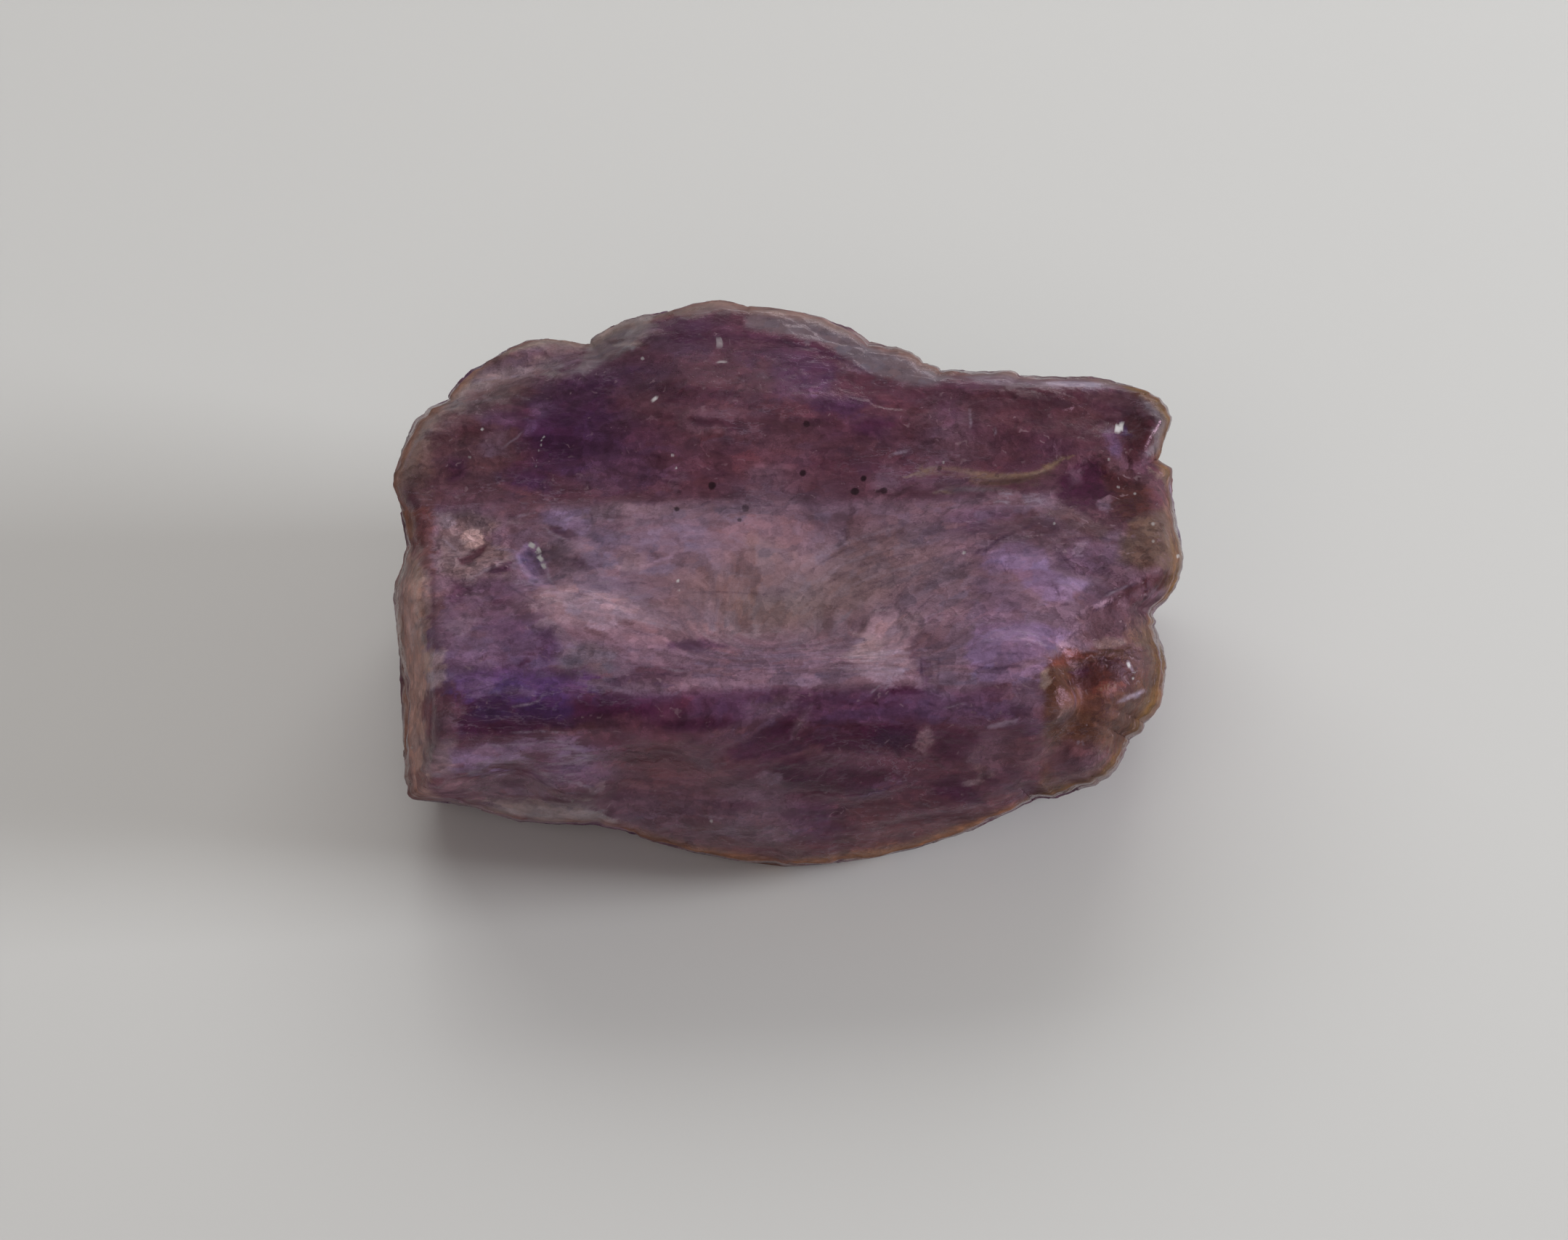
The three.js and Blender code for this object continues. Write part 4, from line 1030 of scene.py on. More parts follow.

# Pale veils along the crystal; a few of these lines are painted highlights, along the upper right rim and on the
# lower right lobe
PALE_THREADS = (
    Thread((1084, 800, 1128, 765, 1188, 738, 1250, 724), 2.4, 0.28),
    Thread((1100, 816, 1150, 782, 1210, 758, 1280, 748), 2, 0.26),
    Thread((1128, 832, 1180, 802, 1240, 782, 1300, 774), 2.4, 0.24),
    Thread((760, 830, 850, 846, 952, 872), 2.2, 0.3),
    Thread((700, 716, 724, 708, 748, 706), 1.6, 0.4),
    Thread((742, 722, 764, 738, 790, 748), 1.8, 0.4),
    Thread((606, 742, 620, 750, 634, 764), 1.8, 0.4),
    Thread((640, 800, 664, 788, 692, 774), 1.6),
    Thread((836, 742, 862, 728, 906, 717), 2.2, 0.35),
    Thread((640, 1030, 700, 1027, 760, 1023), 2),
    Thread((636, 1052, 690, 1050, 740, 1043), 1.4, 0.3),
    Thread((690, 618, 708, 606, 722, 592), 1.4, 0.35),
    Thread((640, 527, 680, 521, 738, 516), 2.2),
    Thread((556, 650, 564, 626, 576, 604), 1.6, 0.45),
    Thread((735, 750, 750, 776, 758, 800, 768, 816), 1.6, 0.75),
    Thread((711, 764, 718, 784, 732, 800), 1.4, 0.4),
    Thread((905, 918, 930, 924, 953, 923), 1.4),
    Thread((736, 1024, 770, 1021, 803, 1024), 2.2, 0.7),
    Thread((770, 1049, 796, 1047, 824, 1048), 2, 0.8),
    Thread((731, 1063, 745, 1055, 775, 1051, 820, 1052), 1.8, 0.7),
    Thread((731, 1063, 758, 1068, 802, 1067), 1.8, 0.7),
    Thread((702, 973, 722, 972, 741, 966, 750, 955), 1.6, 0.55),
    Thread((1198, 956, 1206, 949, 1214, 943), 1.4, 0.6),
    Thread((1216, 950, 1224, 946, 1232, 944), 1.4),
    Thread((1298, 976, 1316, 971, 1334, 969), 1.4, 0.45),
    Thread((1088, 802, 1110, 776, 1142, 752), 3, 0.3),
    Thread((1128, 802, 1142, 791, 1156, 784), 2.2, 0.3),
    Thread((986, 780, 1012, 791, 1050, 797), 1.6, 0.35),
    # A painted highlight along the upper right rim
    Thread((1430, 528, 1470, 529, 1515, 530), 2.2, 0.9),
    Thread((1222, 630, 1236, 623, 1252, 621), 2.4, 0.6),
    Thread((1374, 681, 1386, 679, 1398, 682), 2.6, 0.8),
    Thread((1366, 692, 1380, 690, 1393, 694), 2.6, 0.7),
    Thread((1406, 691, 1424, 686, 1441, 692), 4, 0.75),
    Thread((1414, 680, 1428, 681, 1440, 683), 1.4),
    Thread((1335, 562, 1337, 576, 1336, 592), 1.8, 0.6),
    Thread((1370, 588, 1371, 594, 1370, 600), 1.4, 0.6),
    Thread((960, 1122, 976, 1126, 1002, 1127), 1.6),
    # Painted highlights on the lower right lobe: a glint, a pale strip and two small glints
    Thread((1552, 908, 1558, 920, 1563, 928), 1.8, 0.9),
    Thread((1540, 968, 1556, 960, 1574, 952), 2, 0.7),
    Thread((1484, 1020, 1484, 1026), 1.4, 0.7),
    Thread((1491, 1020, 1491, 1026), 1.4, 0.7),
    Thread((1360, 1002, 1380, 996, 1402, 991), 1.6, 0.6),
    Thread((1518, 822, 1540, 812, 1560, 803), 1.4),
    Thread((640, 1060, 684, 1068, 722, 1062), 1.6, 0.35),
    Thread((742, 1034, 776, 1031, 812, 1033), 1.8, 0.8),
    Thread((750, 1042, 790, 1040, 830, 1042), 1.6, 0.7),
    Thread((700, 1010, 744, 1007, 790, 1010), 1.8, 0.6),
    Thread((660, 1052, 704, 1049, 742, 1051), 1.6),
    Thread((755, 1074, 786, 1076, 822, 1088), 2, 0.6),
)

DARK_THREADS = (
    Thread((1090, 806, 1136, 770, 1196, 744, 1256, 732), 1.6, 0.35),
    Thread((1112, 824, 1160, 790, 1220, 766, 1290, 758), 1.6, 0.3),
    Thread((1140, 842, 1190, 814, 1250, 794), 1.4, 0.3),
    Thread((764, 812, 830, 826, 902, 846), 1.6, 0.3),
    Thread((846, 804, 880, 802, 906, 809), 1.6),
    Thread((640, 958, 668, 946, 690, 944), 1.4),
    Thread((604, 704, 640, 701, 676, 712), 1.4, 0.35),
    Thread((700, 806, 720, 820, 744, 832), 1.6, 0.4),
    Thread((600, 800, 640, 798, 690, 800), 1.6, 0.4),
    Thread((880, 470, 930, 462, 1000, 466), 1.6, 0.3),
    Thread((1060, 466, 1110, 478, 1150, 492, 1186, 508, 1230, 530), 2.2, 0.45),
    Thread((699, 506, 740, 502, 799, 495), 1.6, 0.6),
    Thread((757, 494, 780, 490, 800, 484), 1.6, 0.4),
    Thread((899, 926, 925, 930, 952, 928), 1.6, 0.6),
    Thread((1340, 919, 1372, 921, 1404, 918), 1.6, 0.7),
    Thread((1382, 902, 1400, 900, 1423, 901), 1.4),
    Thread((1352, 1021, 1350, 1050, 1356, 1080), 1.4, 0.3),
    Thread((1270, 966, 1286, 972, 1300, 975), 2, 0.7),
    Thread((1354, 1000, 1360, 1002), 2, 0.8),
    Thread((1342, 776, 1368, 746, 1404, 730, 1436, 720), 1.8),
    Thread((1456, 745, 1500, 738, 1552, 747), 1.8),
    Thread((1450, 770, 1466, 773, 1482, 766), 1.4, 0.6),
    Thread((1455, 836, 1464, 832, 1478, 831), 2, 0.6),
    Thread((1454, 806, 1456, 816, 1460, 824), 1.4, 0.6),
    Thread((1468, 884, 1476, 874, 1484, 871), 1.8, 0.8),
    Thread((1456, 908, 1462, 896, 1468, 886), 1.2),
    Thread((1498, 846, 1516, 837, 1534, 828), 2, 0.7),
    Thread((1512, 822, 1540, 810, 1570, 804), 2, 0.6),
    Thread((1260, 846, 1274, 829, 1292, 815), 1.4, 0.6),
    Thread((1270, 900, 1267, 920, 1272, 942), 2),
    Thread((1292, 900, 1294, 920, 1290, 940), 1.6, 0.4),
    Thread((1378, 774, 1382, 782, 1386, 790), 1.2, 0.6),
    Thread((1388, 776, 1391, 784, 1394, 791), 1.2),
    Thread((1394, 782, 1392, 788, 1389, 792), 1.2),
    Thread((930, 817, 990, 815, 1058, 819), 1.2, 0.4),
    Thread((1050, 819, 1056, 819), 1.8),
    Thread((865, 866, 884, 872, 906, 878), 1.2, 0.4),
    Thread((1100, 700, 1060, 696, 1020, 698), 1.2, 0.35),
    Thread((1000, 548, 1014, 530, 1028, 510), 1.6, 0.4),
    Thread((1008, 1034, 1050, 1006, 1090, 984), 1.8),
    Thread((1230, 830, 1244, 814, 1258, 796), 1, 0.35),
    Thread((1222, 822, 1240, 806, 1252, 790), 1, 0.35),
    Thread((1190, 806, 1210, 802, 1224, 795), 1.2, 0.35),
    Thread((812, 705, 815, 712, 813, 720), 1.4, 0.6),
)

OCHRE_THREADS = (
    Thread((1256, 656, 1284, 652, 1330, 656, 1372, 659, 1408, 656, 1440, 643, 1466, 632), 2, 0.28),
    Thread((1264, 654, 1276, 648, 1288, 643), 2.4, 0.35),
    Thread((1282, 679, 1300, 677, 1316, 680), 2, 0.45),
    Thread((1524, 940, 1526, 947, 1524, 953), 1.4, 0.6),
    Thread((1534, 939, 1536, 946, 1534, 952), 1.4, 0.6),
    Thread((1512, 950, 1516, 946, 1518, 952), 1.4),
)

SPECKS = (
    Speck((980, 669), 5.5), Speck((932, 701), 3.6, 0.8), Speck((935, 678), 3, 0.35), Speck((1026, 700), 5, 0.55),
    Speck((1018, 716), 3, 0.7), Speck((1105, 652), 4.5), Speck((1189, 659), 4), Speck((1177, 677), 5.5),
    Speck((1217, 676), 5, 0.8), Speck((1110, 584), 4.5, 0.7), Speck((1208, 677), 3, 0.6),
    Speck((1294, 645), 3.5, 0.6), Speck((1462, 872), 2, 0.5),
)

# Painted highlights: small white glints laid into the colour where facets catch the light
GLINTS = (
    Thread((1537, 597, 1541, 584), 3.4, 1),
    Thread((1543, 594, 1546, 580), 2.4, 1),
    Thread((897, 552, 905, 546), 1.8, 0.95),
    Thread((989, 464, 991, 480), 3.8, 0.3),
    Thread((986, 500, 1001, 498), 1.2),
    Thread((728, 748, 737, 754), 3, 1),
    Thread((739, 753, 743, 762), 2.6, 1),
    Thread((740, 766, 748, 773), 2.8, 1),
    Thread((746, 775, 750, 784), 2, 0.9),
    Thread((1552, 912, 1556, 920), 2.2, 0.9),
    Speck((926, 627), 2, 1), Speck((931, 645), 1.5, 1), Speck((933, 800), 2.2, 0.9), Speck((935, 813), 1.6, 0.8),
    Speck((745, 606), 1.2, 0.7), Speck((745, 613), 1.4, 0.8), Speck((741, 620), 1.2, 0.6), Speck((740, 635), 1, 0.6),
    Speck((749, 601), 1.4, 0.6), Speck((738, 642), 1.2, 0.5), Speck((664, 591), 1.8, 0.7),
    Speck((884, 494), 2.2, 0.5), Speck((1299, 637), 1.8, 0.8), Speck((1540, 671), 1.8, 0.7),
    Speck((1563, 680), 1.6, 0.5), Speck((647, 630), 1.6, 0.5), Speck((788, 1104), 1.6, 0.6),
    Speck((1622, 766), 2.2, 0.6), Speck((1560, 934), 1.6, 0.6), Speck((567, 1030), 1.6, 0.5),
    Speck((979, 1131), 2, 0.5), Speck((1588, 745), 2.2, 0.35), Speck((1587, 722), 2.6, 0.35),
    Speck((1526, 633), 2, 0.5), Speck((1451, 720), 2, 0.5), Speck((1327, 761), 2.6, 0.5),
)

CUTS = (
    Cut((663, 532, 706, 518, 770, 521, 816, 489, 859, 479), 7, 0.05),
    Cut((691, 696, 760, 692, 850, 694), 8, 0.035, Profile.LEDGE),
    Cut((1336, 662, 1380, 666, 1420, 658, 1472, 632), 6, 0.04),
    Cut((834, 946, 950, 956, 1080, 954), 6, 0.04, Profile.LEDGE),
    Cut((1508, 616, 1536, 640, 1566, 652, 1592, 676), 8, -0.06),
    Cut((645, 1104, 740, 1101, 827, 1105), 6, 0.05),
    Cut((1441, 918, 1446, 932, 1441, 947), 6, -0.05),
    Cut((1352, 1021, 1350, 1050, 1356, 1080), 4, 0.03),
    Cut((1264, 1040, 1276, 1012, 1290, 990), 4, -0.03),
    Cut((1496, 846, 1540, 830, 1594, 840), 7, 0.07),
    Cut((1500, 822, 1544, 812, 1606, 796), 6, 0.05),
    Cut((1450, 912, 1500, 896, 1552, 896), 5, 0.03),
    Cut((560, 752, 590, 800, 592, 900, 590, 1060), 6, 0.04),
    Cut((948, 1050, 1000, 1014, 1100, 958), 7, -0.03),
    Bowl((1560, 604), (24, 30), 0.1),
    Bowl((738, 780), (14, 34), 0.08, 24),
    Bowl((650, 765), (30, 20), 0.06),
    Bowl((649, 742), (20, 16), -0.04),
    Bowl((1490, 672), (34, 28), 0.07),
    Bowl((1516, 930), (40, 24), 0.04),
)

BENDS = (
    Dome((1395, 902), (330, 180)),
    Slant((1040, 1030), (180, 60), 0.4),
    Slant((830, 855), (120, 50), -0.25),
)

# Where the surface is crumbled into chips
CRUMBLED = (
    Dab((650, 765), (64, 60), Tint.BEIGE, 1),
    Dab((660, 820), (66, 40), Tint.BEIGE),
    Dab((1540, 670), (100, 60), Tint.RUST, 0.9),
    Dab((1500, 768), (60, 36), Tint.RUST, 0.7),
    Dab((1520, 866), (70, 32), Tint.RUST, 1),
    Dab((1530, 960), (90, 120), Tint.RUST),
    Dab((1570, 790), (60, 70), Tint.RUST, 0.7),
    Dab((740, 500), (120, 34), Tint.PLUM),
    Dab((620, 600), (90, 90), Tint.RED_BROWN, 0.5),
    Dab((1380, 590), (150, 60), Tint.RED_BROWN, 0.5),
    Dab((730, 1120), (110, 26), Tint.BEIGE, 0.3),
    Dab((1000, 520), (180, 60), Tint.PLUM, 0.35),
)


@dataclass(frozen=True)
class Ink:
    """One kind of fine line, grain or painted glint: its marks, tint, edge softness in pixels, and whether it frays.
    """

    name: str
    marks: tuple[Thread | Speck, ...]
    tint: Tint
    softness: float
    frays: bool = True


# The kinds of fine line and grain, and the painted glints, each one laid over the last
INKS = (
    Ink("dark_threads", DARK_THREADS, Tint.BLUE_BLACK, 1.8),
    Ink("ochre_threads", OCHRE_THREADS, Tint.OCHRE, 2.2),
    Ink("pale_threads", PALE_THREADS, Tint.PALE_VEIL_AND_HIGHLIGHT, 1.8),
    Ink("specks", SPECKS, Tint.BLACK_GRAIN, 1.2, frays=False),
    Ink("glints", GLINTS, Tint.WHITE_GLINT, 1.2, frays=False),
)


class Layer(Enum):
    """Layers of noise and of chips: how many there are to a millimetre along X, Y and Z, and each layer's shift."""

    LUMPS = ((0.9, 1.3, 1.3), 3.0)
    FIBRES = ((1.2, 3.2, 3.2), 11.0)
    GRAINS = ((3.2, 4.4, 4.4), 23.0)
    BROAD_WANDER = ((0.8, 1.6, 1.6), 31.0)
    DOWN_WANDER = ((0.8, 1.6, 1.6), 41.0)
    FINE_WANDER = ((2.4, 4.0, 4.0), 47.0)
    RIM_WANDER = ((2.5, 2.5, 2.5), 57.0)
    CRUMBS = ((2.6, 2.6, 2.6), 61.0)
    HIDDEN_FACETS = ((0.7, 1.1, 1.1), 67.0)
    HIDDEN_CRUMBLE = ((0.45, 0.6, 0.6), 71.0)
    FLAKES = ((1.3, 2.8, 1.8), 73.0)
    SPLINTERS = ((3.4, 6.0, 4.5), 79.0)
    SHAKE_ACROSS = ((6.0, 6.0, 6.0), 83.0)
    SHAKE_DOWN = ((6.0, 6.0, 6.0), 89.0)
    FLAKE_TONES = ((1.6, 3.6, 2.2), 91.0)
    GRAIN_TONES = ((3.4, 3.4, 3.4), 97.0)
    SPLINTER_TONES = ((4.5, 8.0, 6.0), 101.0)
    HIDDEN_VIOLET = ((0.35, 0.6, 0.6), 5.0)
    HIDDEN_LILAC = ((0.3, 0.8, 0.8), 13.0)
    HIDDEN_RED = ((0.5, 0.5, 0.5), 17.0)
    HIDDEN_RUST = ((1.1, 1.1, 1.1), 19.0)
    HIDDEN_BEIGE = ((0.7, 1.4, 1.4), 29.0)

    def noise(self, places: np.ndarray) -> np.ndarray:
        """The layer's smooth noise at each place."""
        return noise_of(places, *self.value)

    def chips(self, places: np.ndarray) -> tuple[np.ndarray, np.ndarray]:
        """The layer's chips at each place, as heights and as each chip's own values."""
        return chips_of(places, *self.value)


@dataclass(frozen=True)
class Relief:
    """The height of the fine broken surface over the solid's own, in millimetres, and how high up its base ends."""

    lumps: float = 0.03
    fibres: float = 0.014
    grains: float = 0.008
    chips: float = 0.08
    flakes: float = 0.045
    splinters: float = 0.018
    deepest: float = 0.25
    flat_base: float = 0.3


@dataclass
class Crystal:
    """The crystal's visible surface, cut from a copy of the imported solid. Its voxel is in millimetres."""

    eye: Eye
    node: str = "sapphire_crystal"
    voxel: float = 0.085
    smoothing: int = 12
    least_crumbled: float = 0.12
    relief: Relief = field(default_factory=Relief)

    def build(self) -> bpy.types.Object:
        """Models the surface and gives it the attributes that its finish reads.

        Returns:
            The piece, in metres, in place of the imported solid.
        """
        low, high = (np.array(corner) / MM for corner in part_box(self.node))
        stone = self.copy_of_solid()
        self.even_out(stone)
        self.refine(stone)
        self.follow_outline(stone)
        places, normals = self.places_of(stone)
        in_view = self.in_view(stone, places, normals)
        self.roughen(stone, places, in_view)
        self.follow_outline(stone)
        self.keep_inside(stone, low, high)
        places, normals = self.places_of(stone)
        self.paint(stone, places, in_view, self.rim(places, normals) * in_view)
        log.info("the crystal's colours, lines and masks are laid")
        self.to_metres(stone)
        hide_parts(self.node)
        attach(stone, "root")
        return stone

    def copy_of_solid(self) -> bpy.types.Object:
        """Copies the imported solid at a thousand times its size, so that a millimetre is one unit.

        Returns:
            The copy, with its corners joined.
        """
        bpy.ops.object.select_all(action="DESELECT")
        source = bpy.data.objects[self.node]
        stone = bpy.data.objects.new("crystal_surface", source.data.copy())
        bpy.context.collection.objects.link(stone)
        bpy.context.view_layer.objects.active = stone
        stone.select_set(True)
        stone.scale = (1 / MM, 1 / MM, 1 / MM)
        bpy.ops.object.transform_apply(location=False, rotation=False, scale=True)
        bpy.ops.object.mode_set(mode="EDIT")
        bpy.ops.mesh.select_all(action="SELECT")
        bpy.ops.mesh.remove_doubles(threshold=0.001)
        bpy.ops.object.mode_set(mode="OBJECT")
        stone.data.materials.clear()
        return stone

    def even_out(self, stone: bpy.types.Object) -> None:
        """Lays an even fine skin over the facets and softens the edges between them.

        Args:
            stone: the surface.
        """
        skin = stone.modifiers.new("fine_skin", "REMESH")
        skin.mode = "VOXEL"
        skin.voxel_size = self.voxel
        bpy.ops.object.modifier_apply(modifier=skin.name)
        wear = stone.modifiers.new("worn_facets", "SMOOTH")
        wear.factor = 0.5
        wear.iterations = self.smoothing
        bpy.ops.object.modifier_apply(modifier=wear.name)
        bpy.ops.object.shade_smooth()

    def refine(self, stone: bpy.types.Object) -> None:
        """Halves the skin's spacing on the side that the photograph shows.

        Args:
            stone: the surface.
        """
        places, normals = self.places_of(stone)
        in_view = self.in_view(stone, places, normals)
        stone.data.vertices.foreach_set("select", in_view > 0.02)
        bpy.context.tool_settings.mesh_select_mode = (True, False, False)
        bpy.ops.object.mode_set(mode="EDIT")
        bpy.ops.mesh.subdivide(number_cuts=1, smoothness=0.0)
        bpy.ops.object.mode_set(mode="OBJECT")
        ease = stone.modifiers.new("eased_skin", "SMOOTH")
        ease.factor = 0.5
        ease.iterations = 3
        bpy.ops.object.modifier_apply(modifier=ease.name)

    def follow_outline(self, stone: bpy.types.Object) -> None:
        """Moves the skin near the outline, level, so that it meets the photograph's.

        Args:
            stone: the surface.
        """
        places, _ = self.places_of(stone)
        for _ in range(3):
            move = OUTLINE.pull(self.eye.pixels(places)) / self.eye.pixels_per_mm
            places[:, 0] += move[:, 0]
            places[:, 1] -= move[:, 1] / math.sin(self.eye.elevation)
        stone.data.vertices.foreach_set("co", places.ravel())
        stone.data.update()

    @staticmethod
    def places_of(stone: bpy.types.Object) -> tuple[np.ndarray, np.ndarray]:
        """Reads the surface's points.

        Args:
            stone: the surface.

        Returns:
            Their places and their normals, one a row.
        """
        count = len(stone.data.vertices)
        places = np.empty(count * 3)
        normals = np.empty(count * 3)
        stone.data.vertices.foreach_get("co", places)
        stone.data.vertex_normals.foreach_get("vector", normals)
        return places.reshape(-1, 3), normals.reshape(-1, 3)

    def facing(self, places: np.ndarray, normals: np.ndarray) -> tuple[np.ndarray, np.ndarray]:
        """Finds how the surface faces the eye.

        Args:
            places: its points, in millimetres.
            normals: their normals.

        Returns:
            Each point's way to the eye, and how squarely it faces it, 1 at most.
        """
        ways = np.array(self.eye.place()) - places
        ways /= np.linalg.norm(ways, axis=1)[:, None]
        return ways, np.einsum("ij,ij->i", ways, normals)

    def in_view(self, stone: bpy.types.Object, places: np.ndarray, normals: np.ndarray) -> np.ndarray:
        """Finds which points the photograph shows.

        Args:
            stone: the surface.
            places: its points.
            normals: their normals.

        Returns:
            1 for each point in plain view, 0 for each hidden one, and less than 1 where the surface turns away.
        """
        tree = BVHTree.FromPolygons(
            [Vector(row) for row in places], [tuple(face.vertices) for face in stone.data.polygons]
        )
        ways, facing = self.facing(places, normals)
        shown = smooth((facing + 0.02) / 0.2)
        for i in np.flatnonzero(shown > 0.0):
            start = Vector(places[i] + normals[i] * 0.04)
            if tree.ray_cast(start, Vector(ways[i]), 30.0)[0] is not None:
                shown[i] = 0.0
        return self.spread(stone, shown, 4)

    def rim(self, places: np.ndarray, normals: np.ndarray) -> np.ndarray:
        """Finds how near each point is to where the surface turns out of sight: 1 at the outline."""
        return 1.0 - np.clip(self.facing(places, normals)[1], 0.0, 1.0)

    @staticmethod
    def spread(stone: bpy.types.Object, values: np.ndarray, times: int) -> np.ndarray:
        """Averages each point's value with its neighbours'.

        Args:
            stone: the surface.
            values: one a point.
            times: how many times over.

        Returns:
            The values, evened out.
        """
        edges = np.empty(len(stone.data.edges) * 2, dtype=np.int32)
        stone.data.edges.foreach_get("vertices", edges)
        first, second = edges.reshape(-1, 2).T
        count = len(values)
        joined = np.bincount(first, minlength=count) + np.bincount(second, minlength=count)
        for _ in range(times):
            total = np.bincount(first, values[second], count) + np.bincount(second, values[first], count)
            values = 0.5 * values + 0.5 * total / np.maximum(joined, 1)
        return values

    def roughen(self, stone: bpy.types.Object, places: np.ndarray, in_view: np.ndarray) -> None:
        """Moves the skin in and out: broken lumps, fibres along the crystal, and the cuts that show.

        Args:
            stone: the surface.
            places: its points, in millimetres.
            in_view: how far the photograph shows each.
        """
        relief = self.relief
        seen = self.eye.pixels(places)
        crumbled = self.crumbled(places, seen, in_view)
        height = relief.lumps * Layer.LUMPS.noise(places)
        height += relief.fibres * Layer.FIBRES.noise(places)
        height += relief.grains * Layer.GRAINS.noise(places)
        flow = self.flow(places, seen)
        height += relief.chips * crumbled * Layer.CRUMBS.chips(places)[0]
        height += relief.chips * (1.0 - in_view) * Layer.HIDDEN_FACETS.chips(places)[0]
        height += relief.flakes * (1.0 - crumbled) * Layer.FLAKES.chips(flow)[0]
        height += relief.splinters * Layer.SPLINTERS.chips(flow)[0]
        for cut in CUTS:
            height -= cut.drop(seen) * in_view
        above_base = smooth(places[:, 2] / relief.flat_base)
        height = np.clip(height * above_base, -relief.deepest, relief.deepest)
        group = stone.vertex_groups.new(name="relief")
        for i, weight in enumerate(0.5 + height / (2.0 * relief.deepest)):
            group.add([i], float(weight), "REPLACE")
        carve = stone.modifiers.new("relief", "DISPLACE")
        carve.vertex_group = group.name
        carve.direction = "NORMAL"
        carve.mid_level = 0.5
        carve.strength = 2.0 * relief.deepest
        bpy.ops.object.modifier_apply(modifier=carve.name)

    def crumbled(self, places: np.ndarray, seen: np.ndarray, in_view: np.ndarray) -> np.ndarray:
        """Finds where the surface is broken into small chips.

        Args:
            places: the surface's points, in millimetres.
            seen: the same, as pixels.
            in_view: how far the photograph shows each.

        Returns:
            One share a point, 0 to 1.
        """
        broken = np.full(len(places), self.least_crumbled)
        for mark in CRUMBLED:
            broken = np.maximum(broken, mark.cover(seen))
        elsewhere = smooth(0.3 + Layer.HIDDEN_CRUMBLE.noise(places))
        return broken * in_view + elsewhere * (1.0 - in_view)

    def keep_inside(self, stone: bpy.types.Object, low: np.ndarray, high: np.ndarray) -> None:
        """Presses the points that stand proud of the solid's own box back onto it.

        Args:
            stone: the surface.
            low: the box's lowest corner, in millimetres.
            high: its highest.
        """
        places, _ = self.places_of(stone)
        stone.data.vertices.foreach_set("co", np.clip(places, low, high).ravel())
        stone.data.update()

    def paint(self, stone: bpy.types.Object, places: np.ndarray, in_view: np.ndarray, rim: np.ndarray) -> None:
        """Stores what the finish reads: zone colours, the streaks' flow, masks and fine lines.

        Args:
            stone: the surface.
            places: its points, in millimetres.
            in_view: how far the photograph shows each.
            rim: how near each is to the outline.
        """
        seen = self.eye.pixels(places)
        broken = self.crumbled(places, seen, in_view)
        flow = self.flow(places, seen)
        flakes = Layer.FLAKE_TONES.chips(flow)[1] * (1.0 - 0.5 * broken[:, None])
        grains = Layer.GRAIN_TONES.chips(places)[1] * (0.3 + 0.7 * broken[:, None])
        splinters = Layer.SPLINTER_TONES.chips(flow)[1]
        wander = np.column_stack([
            14.0 * Layer.BROAD_WANDER.noise(places),
            9.0 * Layer.DOWN_WANDER.noise(places) + 5.0 * Layer.FINE_WANDER.noise(places),
        ])
        wander = wander + flakes[:, :2] * (24.0, 14.0) + grains[:, :2] * (14.0, 14.0) + splinters[:, :2] * (12.0, 8.0)
        satin = self.satin(seen)
        shown = self.shown_colours(places, seen, wander)
        colour = self.hidden_colours(places) * (1.0 - in_view[:, None]) + shown * in_view[:, None]
        tones = 0.24 * flakes[:, 2:] + 0.3 * grains[:, 2:] + 0.22 * splinters[:, 2:]
        lightness = 1.0 + tones * (1.0 - 0.6 * satin[:, None])
        warmth = 0.07 * flakes[:, 1:2] + 0.06 * splinters[:, 1:2]
        warm = np.hstack([1.0 + warmth, 1.0 - 0.2 * warmth, 1.0 - warmth])
        colour = colour * np.clip(lightness, 0.4, 1.8) * warm
        zone = stone.data.color_attributes.new("zone", "FLOAT_COLOR", "POINT")
        zone.data.foreach_set("color", np.column_stack([colour, np.ones(len(colour))]).ravel())
        self.store(stone, "flow", flow)
        self.store(stone, "masks", np.column_stack([satin * in_view, broken, smooth((rim - 0.45) / 0.4)]))
        self.draw_lines(stone, places, seen, in_view)

    @staticmethod
    def satin(seen: np.ndarray) -> np.ndarray:
        """Finds how smooth and calm the surface is.

        Args:
            seen: the surface's points, as pixels.

        Returns:
            One share a point, 0 to 1.
        """
        satin = np.zeros(len(seen))
        for mark in SATIN_SHEEN:
            satin = np.maximum(satin, mark.cover(seen))
        for mark in QUIET:
            satin = np.maximum(satin, 0.5 * mark.cover(seen))
        return satin

    @staticmethod
    def shown_colours(places: np.ndarray, seen: np.ndarray, wander: np.ndarray) -> np.ndarray:
        """The colours of the side that the photograph shows.

        Args:
            places: the surface's points, in millimetres.
            seen: the same, as pixels.
            wander: how far each reads its marks from elsewhere, as pixels, so that their edges look broken.

        Returns:
            One colour a point.
        """
        shown = np.tile(np.array(Tint.PLUM.light), (len(places), 1))
        # The zones, then the painted sheen bands, laid over a plum ground
        for mark in (*UPPER_ZONE, *WINDOW_ZONE, *FRONT_ZONE, *END_ZONES, *SATIN_SHEEN):
            placed = seen + mark.loose * wander
            low, high = mark.span()
            rows = np.flatnonzero(((placed > low) & (placed < high)).all(axis=1))
            shown[rows] = laid_over(shown[rows], mark.tint, mark.cover(placed[rows]))
